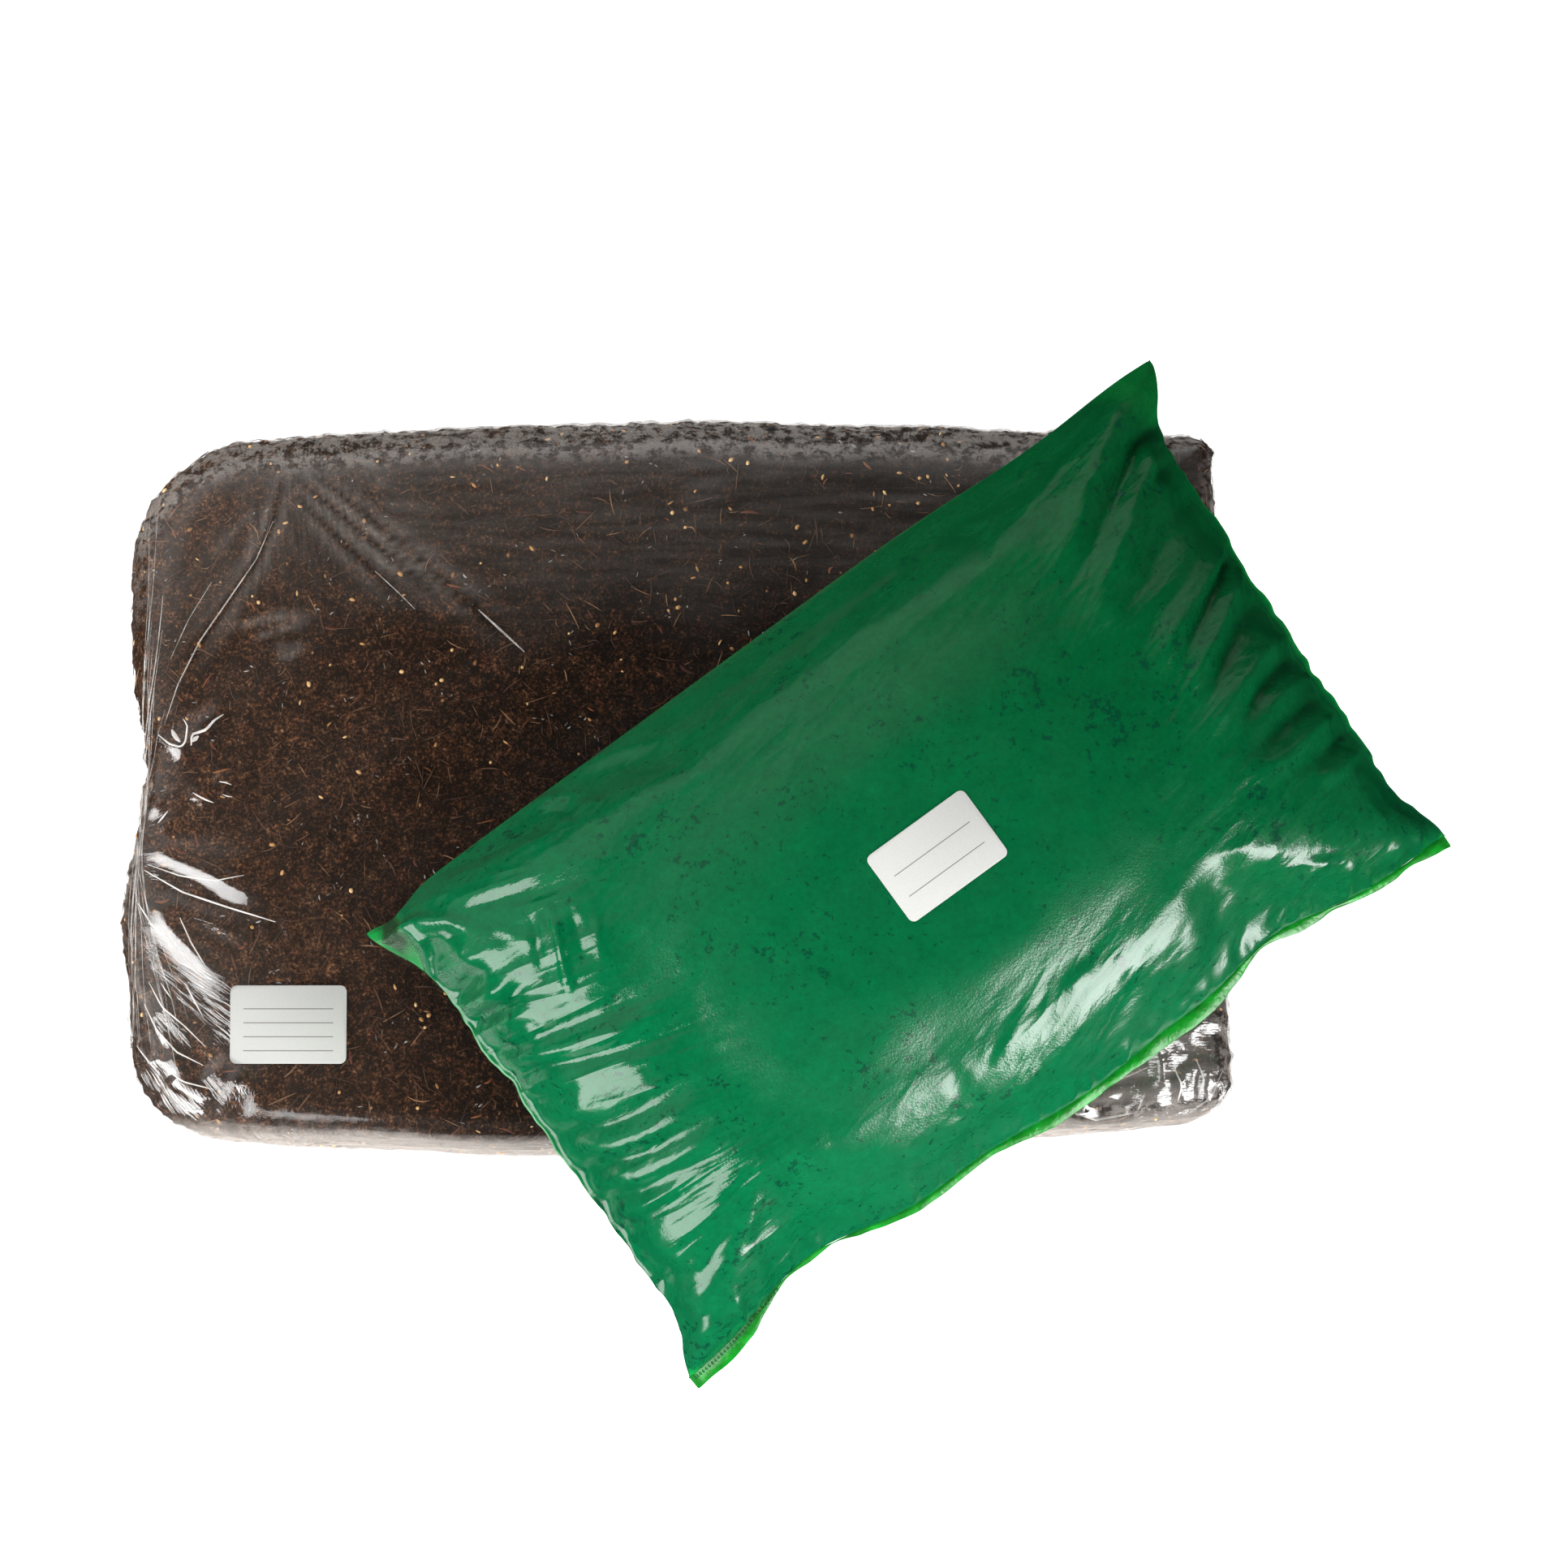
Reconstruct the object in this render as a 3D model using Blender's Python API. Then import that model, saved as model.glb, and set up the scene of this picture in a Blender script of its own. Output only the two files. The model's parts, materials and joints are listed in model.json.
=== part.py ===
"""A mushroom growing set: a compost block in clear film with a filled bag of casing peat lying on it."""

import math

import bmesh
import bpy
import numpy as np

MM = 0.001

# Everything below is in millimetres. X is right, Y is away from the front, Z is up from the ground.

# The compost block in its film
BLOCK_HEIGHT = 180.0
BLOCK_LEFT = 299.0
BLOCK_RIGHT = 298.0
BLOCK_FAR = 205.5
BLOCK_NEAR = 195.5
FILM_WALL = 0.8
PIECE_GAP = 0.3
SHALLOWEST = 0.3

# How the block's long sides bow in plan, from the middle to the ends
FAR_BOW_LEFT = 8.0
FAR_BOW_RIGHT = 5.0
NEAR_BOW = 8.0
BOW_REACH = 215.0
NEAR_BOW_SHIFT = -40.0

# The right end leans, and the left end has a dent beside a bulge where the film is gathered
RIGHT_LEAN = 4.5
DENT_DEPTH = 6.0
DENT_Y = 18.0
DENT_WIDTH = 28.0
BULGE_DEPTH = 9.0
BULGE_Y = -75.0
BULGE_WIDTH = 42.0

# Plan rounding of the block's corners as (left, right), and of its edges all round the foot
CORNER_ROUND_NEAR = (52.0, 22.0)
CORNER_ROUND_FAR = (68.0, 12.0)
ROUND_FOOT = 12.0
LEAST_ROUND = 6.0

# Rounding of the top edges, in plan and in height, as (near, far) and (left, right)
TOP_ROUND_SIDES = (22.0, 42.0)
TOP_DROP_SIDES = (20.0, 36.0)
TOP_ROUND_ENDS = (34.0, 18.0)
TOP_DROP_ENDS = (30.0, 20.0)
END_POWER = 8.0
HALF_TURN_SHARE = 1.0 - math.cos(math.radians(45))

# The gather of the film in the left end
GATHER_Y = -47.0
GATHER_Z = 104.0
GATHER_REACH = 85.0
GATHER_DEPTH = 9.0
GATHER_MOUTH = 7.0
GATHER_PLEAT = 2.2
GATHER_PLEAT_REACH = 150.0
GATHER_FACING = 0.3

# Shallow settling of the compost under the film
SETTLE = 1.6
SETTLE_LENGTH_X = 118.0
SETTLE_LENGTH_Y = 83.0
SETTLE_PHASE_X = 0.6
SETTLE_PHASE_Y = 1.1

# Divisions of the block's surface along X, Y and Z
BLOCK_CELLS = (18, 14, 7)
WALL_SHARE = 0.7
END_CELLS_LEFT = 62.0
END_CELLS_RIGHT = 30.0
SIDE_CELLS = 40.0
EDGE_STEP = 0.45

# The bag of casing peat: place and turn of its middle on the block
BAG_X = 129.4
BAG_Y = -50.3
BAG_TURN_DEG = 36.0
BAG_THICKNESS = 109.7
BAG_FILM = 0.6
PEAT_GAP = 0.6
RIM_GAP = 2.0
MOST_SHARE = 0.3
LEAST_UPRIGHT = 0.05

# The bag's corners as (along, across) in its own axes
CORNER_NEAR_LEFT = (-256.0, -151.5)
CORNER_NEAR_RIGHT = (248.0, -154.5)
CORNER_FAR_LEFT = (-256.0, 152.0)
CORNER_FAR_RIGHT = (270.0, 155.0)

# The ends are drawn in between the ears, more at the far part of the right end
EAR_LENGTH = 45.0
LEFT_PULL = 16.5
RIGHT_PULL_NEAR = 15.5
RIGHT_PULL_FAR = 22.5

# Shallow hollows along the long edges as (place along, depth, half width)
NEAR_HOLLOWS = ((-165.0, 17.0, 52.0), (-60.0, 6.0, 40.0), (60.0, 3.0, 30.0), (135.0, 11.0, 40.0))
FAR_HOLLOWS = ((-236.0, 5.0, 14.0), (185.0, 4.5, 60.0))

# How high the bag's edge lies over what it rests on, in the middle of a side and at its corners
LONG_EDGE_RISE = 40.0
SHORT_EDGE_RISE = 32.0
CORNER_RISE = 4.0
RISE_POWER = 5.0
OVERHANG_START = 6.0
OVERHANG_SAG = 0.16

# Fullness of the bag: higher numbers keep the top flat nearer to the edge
TOP_POWER_ALONG = 4.0
TOP_POWER_ACROSS = 3.2
TOP_CLIP = 0.985
BASE_POWER = 9.0
PLEAT_HEIGHT = 2.6
PLEAT_START = 0.62
PLEAT_FADE = 0.25
PLEAT_EDGE = 4.0
TOP_WAVE = 2.4
TOP_WAVE_ALONG = 47.0
TOP_WAVE_ACROSS = 39.0

# The welded fin along the near long edge
FIN_WIDTH = 6.5
FIN_THICKNESS = 1.2
FIN_LEVEL = 0.35

# Divisions of the bag's surface along and across
BAG_CELLS = (28, 16)
STATION_POWER = 1.45

# The two paper labels
LABEL_LENGTH = 62.4
LABEL_WIDTH = 42.0
LABEL_ROUND = 3.5
LABEL_THICKNESS = 0.4
LABEL_CORNER_STEPS = 4
BLOCK_LABEL_AT = (-206.7, -127.1)
BAG_LABEL_AT = (10.5, -0.7)
LABEL_CLEAR = 62.0
LABEL_HALF = 46.0


def material(name, colour, roughness, metallic=0.0):
    """A plain material of this colour."""
    made = bpy.data.materials.new(name)
    made.use_nodes = True
    shader = made.node_tree.nodes["Principled BSDF"]
    shader.inputs["Base Color"].default_value = (*colour, 1.0)
    shader.inputs["Roughness"].default_value = roughness
    shader.inputs["Metallic"].default_value = metallic
    made.diffuse_color = (*colour, 1.0)
    return made


def add_object(name, points, faces, look):
    """One closed body from points in millimetres and faces wound outward."""
    mesh = bpy.data.meshes.new(name)
    mesh.from_pydata((np.asarray(points, float) * MM).tolist(), [], faces)
    mesh.materials.append(look)
    tool = bmesh.new()
    tool.from_mesh(mesh)
    bmesh.ops.triangulate(tool, faces=tool.faces[:], quad_method="FIXED")
    bmesh.ops.recalc_face_normals(tool, faces=tool.faces[:])
    tool.to_mesh(mesh)
    tool.free()
    mesh.shade_smooth()
    mesh.set_sharp_from_angle(angle=math.radians(40))
    made = bpy.data.objects.new(name, mesh)
    bpy.context.scene.collection.objects.link(made)
    return made


def bell(distance, width):
    """1 at no distance, falling smoothly to 0."""
    return math.exp(-((distance / width) ** 2))


def blend(low, high, share):
    """A smooth step from low to high as share goes from 0 to 1."""
    share = min(1.0, max(0.0, share))
    return low + (high - low) * share * share * (3.0 - 2.0 * share)


def inset(points, faces, distance):
    """The points moved inward so that every triangle moves by about the distance."""
    points = np.asarray(points, float)
    touching = [[] for _ in points]
    for face in faces:
        for a, b, c in ((face[0], face[1], face[2]), (face[0], face[2], face[-1])):
            across = np.cross(points[b] - points[a], points[c] - points[a])
            normal = across / max(np.linalg.norm(across), 1e-9)
            for corner in (a, b, c):
                touching[corner].append(normal)
    moved = points.copy()
    for index, normals in enumerate(touching):
        stack = np.array(normals)
        mean = stack.sum(axis=0)
        mean /= max(np.linalg.norm(mean), 1e-9)
        shallowest = max(SHALLOWEST, float((stack @ mean).min()))
        moved[index] = points[index] - mean * distance / shallowest
    return moved


def stations(count, low_edge, high_edge):
    """Places from -1 to 1 with two closer ones in the rounding at each end."""
    inner = np.linspace(-1.0 + low_edge, 1.0 - high_edge, count - 3)
    low = [-1.0, -1.0 + EDGE_STEP * low_edge]
    high = [1.0 - EDGE_STEP * high_edge, 1.0]
    return [*low, *inner, *high]


def block_half_sizes(x, y):
    """(left or right, near or far) half sizes of the block at this place."""
    if x < 0:
        along = BLOCK_LEFT - DENT_DEPTH * bell(y - DENT_Y, DENT_WIDTH)
        along += BULGE_DEPTH * bell(y - BULGE_Y, BULGE_WIDTH)
    else:
        along = BLOCK_RIGHT - RIGHT_LEAN * y / BLOCK_FAR
    if y > 0:
        bow = FAR_BOW_LEFT if x < 0 else FAR_BOW_RIGHT
        across = BLOCK_FAR - bow * (x / BOW_REACH) ** 2
    else:
        across = BLOCK_NEAR - NEAR_BOW * ((x - NEAR_BOW_SHIFT) / BOW_REACH) ** 2
    return along, across


def near_label(x, y):
    """0 under the block's label, rising to 1 away from it."""
    away = math.hypot(x - BLOCK_LABEL_AT[0], y - BLOCK_LABEL_AT[1])
    return blend(0.0, 1.0, (away - LABEL_HALF) / LABEL_CLEAR)


def top_rounding(u, v):
    """(plan width, drop) of the top edge's rounding at this place."""
    end = max(abs(u), 1e-9) ** END_POWER
    side = 0.5 + 0.5 * v
    place = 0 if u < 0 else 1
    width = (1 - end) * blend(*TOP_ROUND_SIDES, side) + end * TOP_ROUND_ENDS[place]
    drop = (1 - end) * blend(*TOP_DROP_SIDES, side) + end * TOP_DROP_ENDS[place]
    return width, drop


def plan_place(u, v, shrink):
    """Place in plan, direction outward there, and distance inside the shrunk outline."""
    along, across = block_half_sizes(u * BLOCK_RIGHT, v * BLOCK_FAR)
    half = np.array([along - shrink, across - shrink])
    end = 0.5 + 0.5 * u
    radius = blend(blend(*CORNER_ROUND_NEAR, end), blend(*CORNER_ROUND_FAR, end), 0.5 + 0.5 * v) - shrink
    radius = max(radius, LEAST_ROUND)
    place = np.array([u, v]) * half
    core = np.clip(place, radius - half, half - radius)
    lean = (place - core) / radius
    length = np.linalg.norm(lean)
    if length > 1e-9:
        outward = lean / length
        place = core + outward * radius * np.abs(lean).max()
    elif abs(u) > abs(v):
        outward = np.array([math.copysign(1.0, u), 0.0])
    else:
        outward = np.array([0.0, math.copysign(1.0, v)])
    beyond = np.abs(place) - (half - radius)
    inside = radius - np.linalg.norm(np.maximum(beyond, 0.0)) - min(beyond.max(), 0.0)
    return place, outward, max(0.0, inside)


def quarter(inside, width, drop):
    """How far the surface has dropped this far inside an edge with this rounding."""
    if inside >= width:
        return 0.0
    return drop * (1.0 - math.sqrt(1.0 - (1.0 - inside / width) ** 2))


def edge_rounding(u, v, w):
    """(plan width, drop) of the rounding at the foot or at the top."""
    return (ROUND_FOOT, ROUND_FOOT) if w < 0 else top_rounding(u, v)


def cap_point(u, v, w):
    """Place and direction outward on the top or the underside, up to halfway round its edge."""
    width, drop = edge_rounding(u, v, w)
    (x, y), outward, inside = plan_place(u, v, HALF_TURN_SHARE * width)
    fall = quarter(inside + HALF_TURN_SHARE * width, width, drop)
    z = BLOCK_HEIGHT - fall if w > 0 else fall
    at_edge = max(abs(u), abs(v)) >= 1.0
    level = math.sqrt(0.5) if at_edge else 0.0
    out = np.array([*(outward * level), math.copysign(math.sqrt(1.0 - level**2), w)])
    return np.array([x, y, z]), out


def wall_point(u, v, w):
    """Place and direction outward on a wall, up to halfway round its top and foot edges."""
    width, drop = edge_rounding(u, v, w)
    turned = math.radians(45) * max(0.0, (abs(w) - WALL_SHARE) / (1.0 - WALL_SHARE))
    (x, y), outward, _ = plan_place(u, v, width * (1.0 - math.cos(turned)))
    upright = 0.5 + 0.5 * min(1.0, max(-1.0, w / WALL_SHARE))
    high = BLOCK_HEIGHT - top_rounding(u, v)[1]
    z = ROUND_FOOT + (high - ROUND_FOOT) * upright + drop * math.sin(turned) * math.copysign(1.0, w)
    out = np.array([*(outward * math.cos(turned)), math.copysign(math.sin(turned), w)])
    return np.array([x, y, z]), out


def settling(x, y):
    """How far the compost has settled here."""
    along = math.sin(x / SETTLE_LENGTH_X * math.tau + SETTLE_PHASE_X)
    across = math.sin(y / SETTLE_LENGTH_Y * math.tau + SETTLE_PHASE_Y)
    return SETTLE * (0.5 + 0.5 * along * across)


def block_point(u, v, w, column):
    """The film's outer surface at this place of a cube from -1 to 1."""
    point, out = cap_point(u, v, w) if abs(w) >= 1.0 else wall_point(u, v, w)
    if w <= -1.0:
        return point
    settle = settling(point[0], point[1])
    point[:2] -= settle * out[:2]
    point[2] -= settle * max(0.0, out[2]) * near_label(point[0], point[1])
    if out[0] < -GATHER_FACING:
        away = math.hypot(point[1] - GATHER_Y, point[2] - GATHER_Z)
        pleat = GATHER_PLEAT * (1 if column % 2 else -1) * blend(1.0, 0.0, away / GATHER_PLEAT_REACH)
        point[0] -= (GATHER_DEPTH * bell(away, GATHER_REACH) + pleat) * out[0]
    return point


def block_surface():
    """Points and outward quads of the film's outer surface, and the quad at the gather."""
    cells = BLOCK_CELLS
    lines = (
        stations(cells[0], END_CELLS_LEFT / BLOCK_LEFT, END_CELLS_RIGHT / BLOCK_RIGHT),
        stations(cells[1], SIDE_CELLS / BLOCK_NEAR, SIDE_CELLS / BLOCK_FAR),
        stations(cells[2], 1.0 - WALL_SHARE, 1.0 - WALL_SHARE),
    )
    points = []
    index_of = {}

    def corner(i, j, k):
        key = (i, j, k)
        if key not in index_of:
            index_of[key] = len(points)
            points.append(block_point(lines[0][i], lines[1][j], lines[2][k], j))
        return index_of[key]

    faces = []
    for i in range(cells[0]):
        for j in range(cells[1]):
            under = (corner(i, j, 0), corner(i, j + 1, 0), corner(i + 1, j + 1, 0), corner(i + 1, j, 0))
            top = cells[2]
            over = (corner(i, j, top), corner(i + 1, j, top), corner(i + 1, j + 1, top), corner(i, j + 1, top))
            faces += [under, over]
    for i in range(cells[0]):
        for k in range(cells[2]):
            near = (corner(i, 0, k), corner(i + 1, 0, k), corner(i + 1, 0, k + 1), corner(i, 0, k + 1))
            far = cells[1]
            back = (corner(i, far, k), corner(i, far, k + 1), corner(i + 1, far, k + 1), corner(i + 1, far, k))
            faces += [near, back]
    mouth = None
    nearest = 1e9
    for j in range(cells[1]):
        for k in range(cells[2]):
            left = (corner(0, j, k), corner(0, j, k + 1), corner(0, j + 1, k + 1), corner(0, j + 1, k))
            last = cells[0]
            right = (corner(last, j, k), corner(last, j + 1, k), corner(last, j + 1, k + 1), corner(last, j, k + 1))
            faces += [left, right]
            middle = np.mean([points[index] for index in left], axis=0)
            away = math.hypot(middle[1] - GATHER_Y, middle[2] - GATHER_Z)
            if away < nearest:
                nearest = away
                mouth = left
    middle = np.mean([points[index] for index in mouth], axis=0)
    for index in mouth:
        x, y, z = points[index]
        side_y = math.copysign(GATHER_MOUTH, y - middle[1])
        side_z = math.copysign(GATHER_MOUTH, z - middle[2])
        points[index] = np.array([x, GATHER_Y + side_y, GATHER_Z + side_z])
    return np.array(points), faces, mouth


def skin(outer, inner, outer_faces, inner_faces, outer_mouth, inner_mouth):
    """Points and faces of a film: its outside, its inside turned round, and the rim of its mouth."""
    shift = len(outer)
    points = np.concatenate([outer, inner])
    faces = [face for face in outer_faces if face != outer_mouth]
    for face in inner_faces:
        if face != inner_mouth:
            faces.append(tuple(index + shift for index in (face[0], *reversed(face[1:]))))
    count = len(outer_mouth)
    for n in range(count):
        a, b = outer_mouth[n], outer_mouth[(n + 1) % count]
        c, d = inner_mouth[n] + shift, inner_mouth[(n + 1) % count] + shift
        faces.append((a, b, d, c))
    return points, faces


def bag_profile(value, power, root=0.5):
    """1 in the middle and 0 at the edges of the range from -1 to 1."""
    return max(0.0, 1.0 - abs(value) ** power) ** root


def hollows(along, places):
    """How far an edge is drawn in at this place along it."""
    return sum(depth * bell(along - place, width) for place, depth, width in places)


def bag_plan(s, t):
    """Place of the bag's sheet in its own axes, between its corners, drawn in along its edges."""
    right, far = (s + 1) / 2, (t + 1) / 2
    near_row = np.array(CORNER_NEAR_LEFT) * (1 - right) + np.array(CORNER_NEAR_RIGHT) * right
    far_row = np.array(CORNER_FAR_LEFT) * (1 - right) + np.array(CORNER_FAR_RIGHT) * right
    along, across = near_row * (1 - far) + far_row * far
    from_ear = (1 - abs(t)) * CORNER_FAR_LEFT[1] / EAR_LENGTH
    pull = blend(0.0, 1.0, from_ear)
    right_pull = blend(RIGHT_PULL_NEAR, RIGHT_PULL_FAR, far)
    middle = along
    along += pull * (LEFT_PULL * (1 - right) - right_pull * right)
    across += (1 - far) * hollows(middle, NEAR_HOLLOWS) - far * hollows(middle, FAR_HOLLOWS)
    return along, across


def to_block(along, across):
    """From the bag's own axes to the block's."""
    turn = math.radians(BAG_TURN_DEG)
    x = BAG_X + along * math.cos(turn) - across * math.sin(turn)
    y = BAG_Y + along * math.sin(turn) + across * math.cos(turn)
    return x, y


def support_height(x, y):
    """What the bag lies on: the block's flat top, and a gentle sag beyond the block's edges."""
    half_x, half_y = block_half_sizes(x, y)
    outside = math.hypot(max(0.0, abs(x) - half_x), max(0.0, abs(y) - half_y))
    return BLOCK_HEIGHT + PIECE_GAP - OVERHANG_SAG * max(0.0, outside - OVERHANG_START)


def bag_layers(s, t, row):
    """The top and underside points of the bag at this place."""
    along, across = bag_plan(s, t)
    x, y = to_block(along, across)
    base = support_height(x, y)
    rise = CORNER_RISE
    rise += (LONG_EDGE_RISE - CORNER_RISE) * bag_profile(s, RISE_POWER) * abs(t) ** 3
    rise += (SHORT_EDGE_RISE - CORNER_RISE) * bag_profile(t, RISE_POWER) * abs(s) ** 3
    full = bag_profile(s, TOP_POWER_ALONG) * bag_profile(t, TOP_POWER_ACROSS)
    full = min(full, TOP_CLIP) / TOP_CLIP
    flat = bag_profile(s, BASE_POWER) * bag_profile(t, BASE_POWER)
    away = math.hypot(along - BAG_LABEL_AT[0], across - BAG_LABEL_AT[1])
    clear = blend(0.0, 1.0, (away - LABEL_CLEAR) / LABEL_CLEAR)
    wave = math.sin(along / TOP_WAVE_ALONG + 0.8) * math.sin(across / TOP_WAVE_ACROSS + 0.4)
    wave *= TOP_WAVE * clear * full
    pleat = PLEAT_HEIGHT * (1 if row % 2 else -1) * blend(0.0, 1.0, (abs(s) - PLEAT_START) / PLEAT_FADE)
    pleat *= full * min(1.0, PLEAT_EDGE * (1 - abs(t)))
    top = base + rise * (1 - full) + BAG_THICKNESS * full - abs(wave) + pleat
    under = base + rise * (1 - flat)
    return (x, y, top), (x, y, min(under, top - FIN_THICKNESS))


def bag_stations(count):
    """Places from -1 to 1, closer together towards both ends."""
    even = np.linspace(-1.0, 1.0, count + 1)
    return np.sign(even) * (1 - (1 - np.abs(even)) ** STATION_POWER)


class Sheet:
    """The top and underside grids of a pillow joined at its rim, with their diagonals towards the corners."""

    def __init__(self, top, under, rim):
        self.columns = top.shape[0]
        self.rows = top.shape[1]
        self.points = []
        self.index = {}
        self.top, self.under, self.rim = top, under, rim

    def edge(self, i, j):
        return i in (0, self.columns - 1) or j in (0, self.rows - 1)

    def corner(self, layer, i, j):
        key = ("rim", i, j) if self.edge(i, j) else (layer, i, j)
        if key not in self.index:
            source = {"rim": self.rim, "top": self.top, "under": self.under}[key[0]]
            self.index[key] = len(self.points)
            self.points.append(source[i, j])
        return self.index[key]

    def cell(self, layer, i, j):
        ring = ((i, j), (i + 1, j), (i + 1, j + 1), (i, j + 1))
        if (2 * i < self.columns - 1) != (2 * j < self.rows - 1):
            ring = ring[1:] + ring[:1]
        if layer == "under":
            ring = (ring[0], *reversed(ring[1:]))
        return tuple(self.corner(layer, *place) for place in ring)

    def faces(self):
        return [
            self.cell(layer, i, j)
            for layer in ("top", "under")
            for i in range(self.columns - 1)
            for j in range(self.rows - 1)
        ]


def bag_surfaces():
    """The bag's outer sheet, the inner sheet that starts where the two layers part, and the peat's."""
    along = bag_stations(BAG_CELLS[0])
    across = bag_stations(BAG_CELLS[1])
    width = CORNER_FAR_LEFT[1] - CORNER_NEAR_LEFT[1]
    across[1] = -1.0 + 2 * FIN_WIDTH / width
    top = np.zeros((len(along), len(across), 3))
    under = np.zeros_like(top)
    for i, s in enumerate(along):
        for j, t in enumerate(across):
            top[i, j], under[i, j] = bag_layers(s, t, j)
    # The fin is flat: its root is as thin as the two welded layers
    root = (1 - FIN_LEVEL) * under[1:-1, 1] + FIN_LEVEL * top[1:-1, 1]
    half = np.array([0.0, 0.0, FIN_THICKNESS / 2])
    top[1:-1, 1] = root + half
    under[1:-1, 1] = root - half
    rim = (top + under) / 2
    rim[1:-1, 0, 2] = root[:, 2]
    inner_top, inner_under = thinned(top, under, BAG_FILM)
    inner_top = inner_top[1:-1, 2:-1]
    inner_under = inner_under[1:-1, 2:-1]
    inner_rim = (inner_top + inner_under) / 2
    peat_top, peat_under = thinned(inner_top, inner_under, PEAT_GAP)
    outer = Sheet(top, under, rim)
    inner = Sheet(inner_top, inner_under, inner_rim)
    peat = Sheet(peat_top, peat_under, drawn_in(inner_rim, RIM_GAP))
    return outer, inner, peat


def steepness(grid):
    """How much of each point's normal is upright."""
    normal = np.cross(np.gradient(grid, axis=0), np.gradient(grid, axis=1))
    return np.abs(normal[..., 2]) / np.maximum(np.linalg.norm(normal, axis=2), 1e-9)


def thinned(top, under, distance):
    """The top lowered and the underside raised, so that both surfaces move in by the distance."""
    thick = MOST_SHARE * (top[..., 2] - under[..., 2])
    lower, upper = top.copy(), under.copy()
    lower[..., 2] -= np.minimum(distance / np.maximum(steepness(top), LEAST_UPRIGHT), thick)
    upper[..., 2] += np.minimum(distance / np.maximum(steepness(under), LEAST_UPRIGHT), thick)
    return lower, upper


def drawn_in(rim, distance):
    """The rim's points moved in plan towards the middle of the grid."""
    moved = rim.copy()
    last_i, last_j = rim.shape[0] - 1, rim.shape[1] - 1
    for i in range(last_i + 1):
        for j in range(last_j + 1):
            if i not in (0, last_i) and j not in (0, last_j):
                continue
            inward = rim[min(max(i, 1), last_i - 1), min(max(j, 1), last_j - 1)] - rim[i, j]
            moved[i, j, :2] += distance * inward[:2] / max(np.linalg.norm(inward[:2]), 1e-9)
    return moved


def label_plate(middle, turn_deg, height):
    """Points and faces of a thin plate with rounded corners."""
    turn = math.radians(turn_deg)
    ring = []
    for corner in range(4):
        sign_x = (1, -1, -1, 1)[corner]
        sign_y = (1, 1, -1, -1)[corner]
        for step in range(LABEL_CORNER_STEPS + 1):
            angle = math.radians(90 * (corner + step / LABEL_CORNER_STEPS))
            x = sign_x * (LABEL_LENGTH / 2 - LABEL_ROUND) + LABEL_ROUND * math.cos(angle)
            y = sign_y * (LABEL_WIDTH / 2 - LABEL_ROUND) + LABEL_ROUND * math.sin(angle)
            ring.append(
                (
                    middle[0] + x * math.cos(turn) - y * math.sin(turn),
                    middle[1] + x * math.sin(turn) + y * math.cos(turn),
                )
            )
    count = len(ring)
    points = [(x, y, height) for x, y in ring]
    points += [(x, y, height + LABEL_THICKNESS) for x, y in ring]
    faces = [tuple(reversed(range(count))), tuple(range(count, 2 * count))]
    for n in range(count):
        after = (n + 1) % count
        faces.append((n, after, after + count, n + count))
    return points, faces


def build_block(looks):
    """The compost and the clear film around it."""
    outer, faces, mouth = block_surface()
    inner = inset(outer, faces, FILM_WALL)
    points, film_faces = skin(outer, inner, faces, faces, mouth, mouth)
    add_object("block_film", points, film_faces, looks["clear_film"])
    add_object("substrate_block", inset(outer, faces, FILM_WALL + PIECE_GAP), faces, looks["compost"])


def build_bag(looks):
    """The green film and the peat in it."""
    outer, inner, peat = bag_surfaces()
    outer_faces = outer.faces()
    inner_faces = inner.faces()
    # The mouth is in the upper layer beside the left ear, at the same place in both sheets
    column, row = 2, BAG_CELLS[1] - 3
    outer_mouth = outer.cell("top", column, row)
    inner_mouth = inner.cell("top", column - 1, row - 2)
    points, faces = skin(
        np.array(outer.points), np.array(inner.points), outer_faces, inner_faces, outer_mouth, inner_mouth
    )
    add_object("casing_bag", points, faces, looks["green_film"])
    peat_faces = peat.faces()
    add_object("casing_peat", peat.points, peat_faces, looks["peat"])


def build_labels(looks):
    """One paper label on the block's film and one on the bag."""
    points, faces = label_plate(BLOCK_LABEL_AT, 0.0, BLOCK_HEIGHT + PIECE_GAP)
    add_object("block_label", points, faces, looks["label_paper"])
    height = BLOCK_HEIGHT + PIECE_GAP + BAG_THICKNESS + PIECE_GAP
    points, faces = label_plate(to_block(*BAG_LABEL_AT), BAG_TURN_DEG, height)
    add_object("bag_label", points, faces, looks["bag_label_paper"])


def main():
    for old in list(bpy.data.objects):
        bpy.data.objects.remove(old, do_unlink=True)
    looks = {
        "compost": material("compost", (0.035, 0.020, 0.012), 0.85),
        "clear_film": material("clear_film", (0.30, 0.28, 0.27), 0.12),
        "green_film": material("green_film", (0.0, 0.16, 0.05), 0.25),
        "peat": material("peat", (0.012, 0.008, 0.006), 0.9),
        "label_paper": material("label_paper", (0.76, 0.77, 0.74), 0.5),
        "bag_label_paper": material("bag_label_paper", (0.76, 0.77, 0.74), 0.5),
    }
    build_block(looks)
    build_bag(looks)
    build_labels(looks)


main()
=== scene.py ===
"""Looks of a mushroom growing set: a compost block in clear film, with a green bag of casing peat on it."""

import itertools
import json
import math

import bmesh
import bpy
import numpy as np
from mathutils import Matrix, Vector
from mathutils.bvhtree import BVHTree

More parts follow.
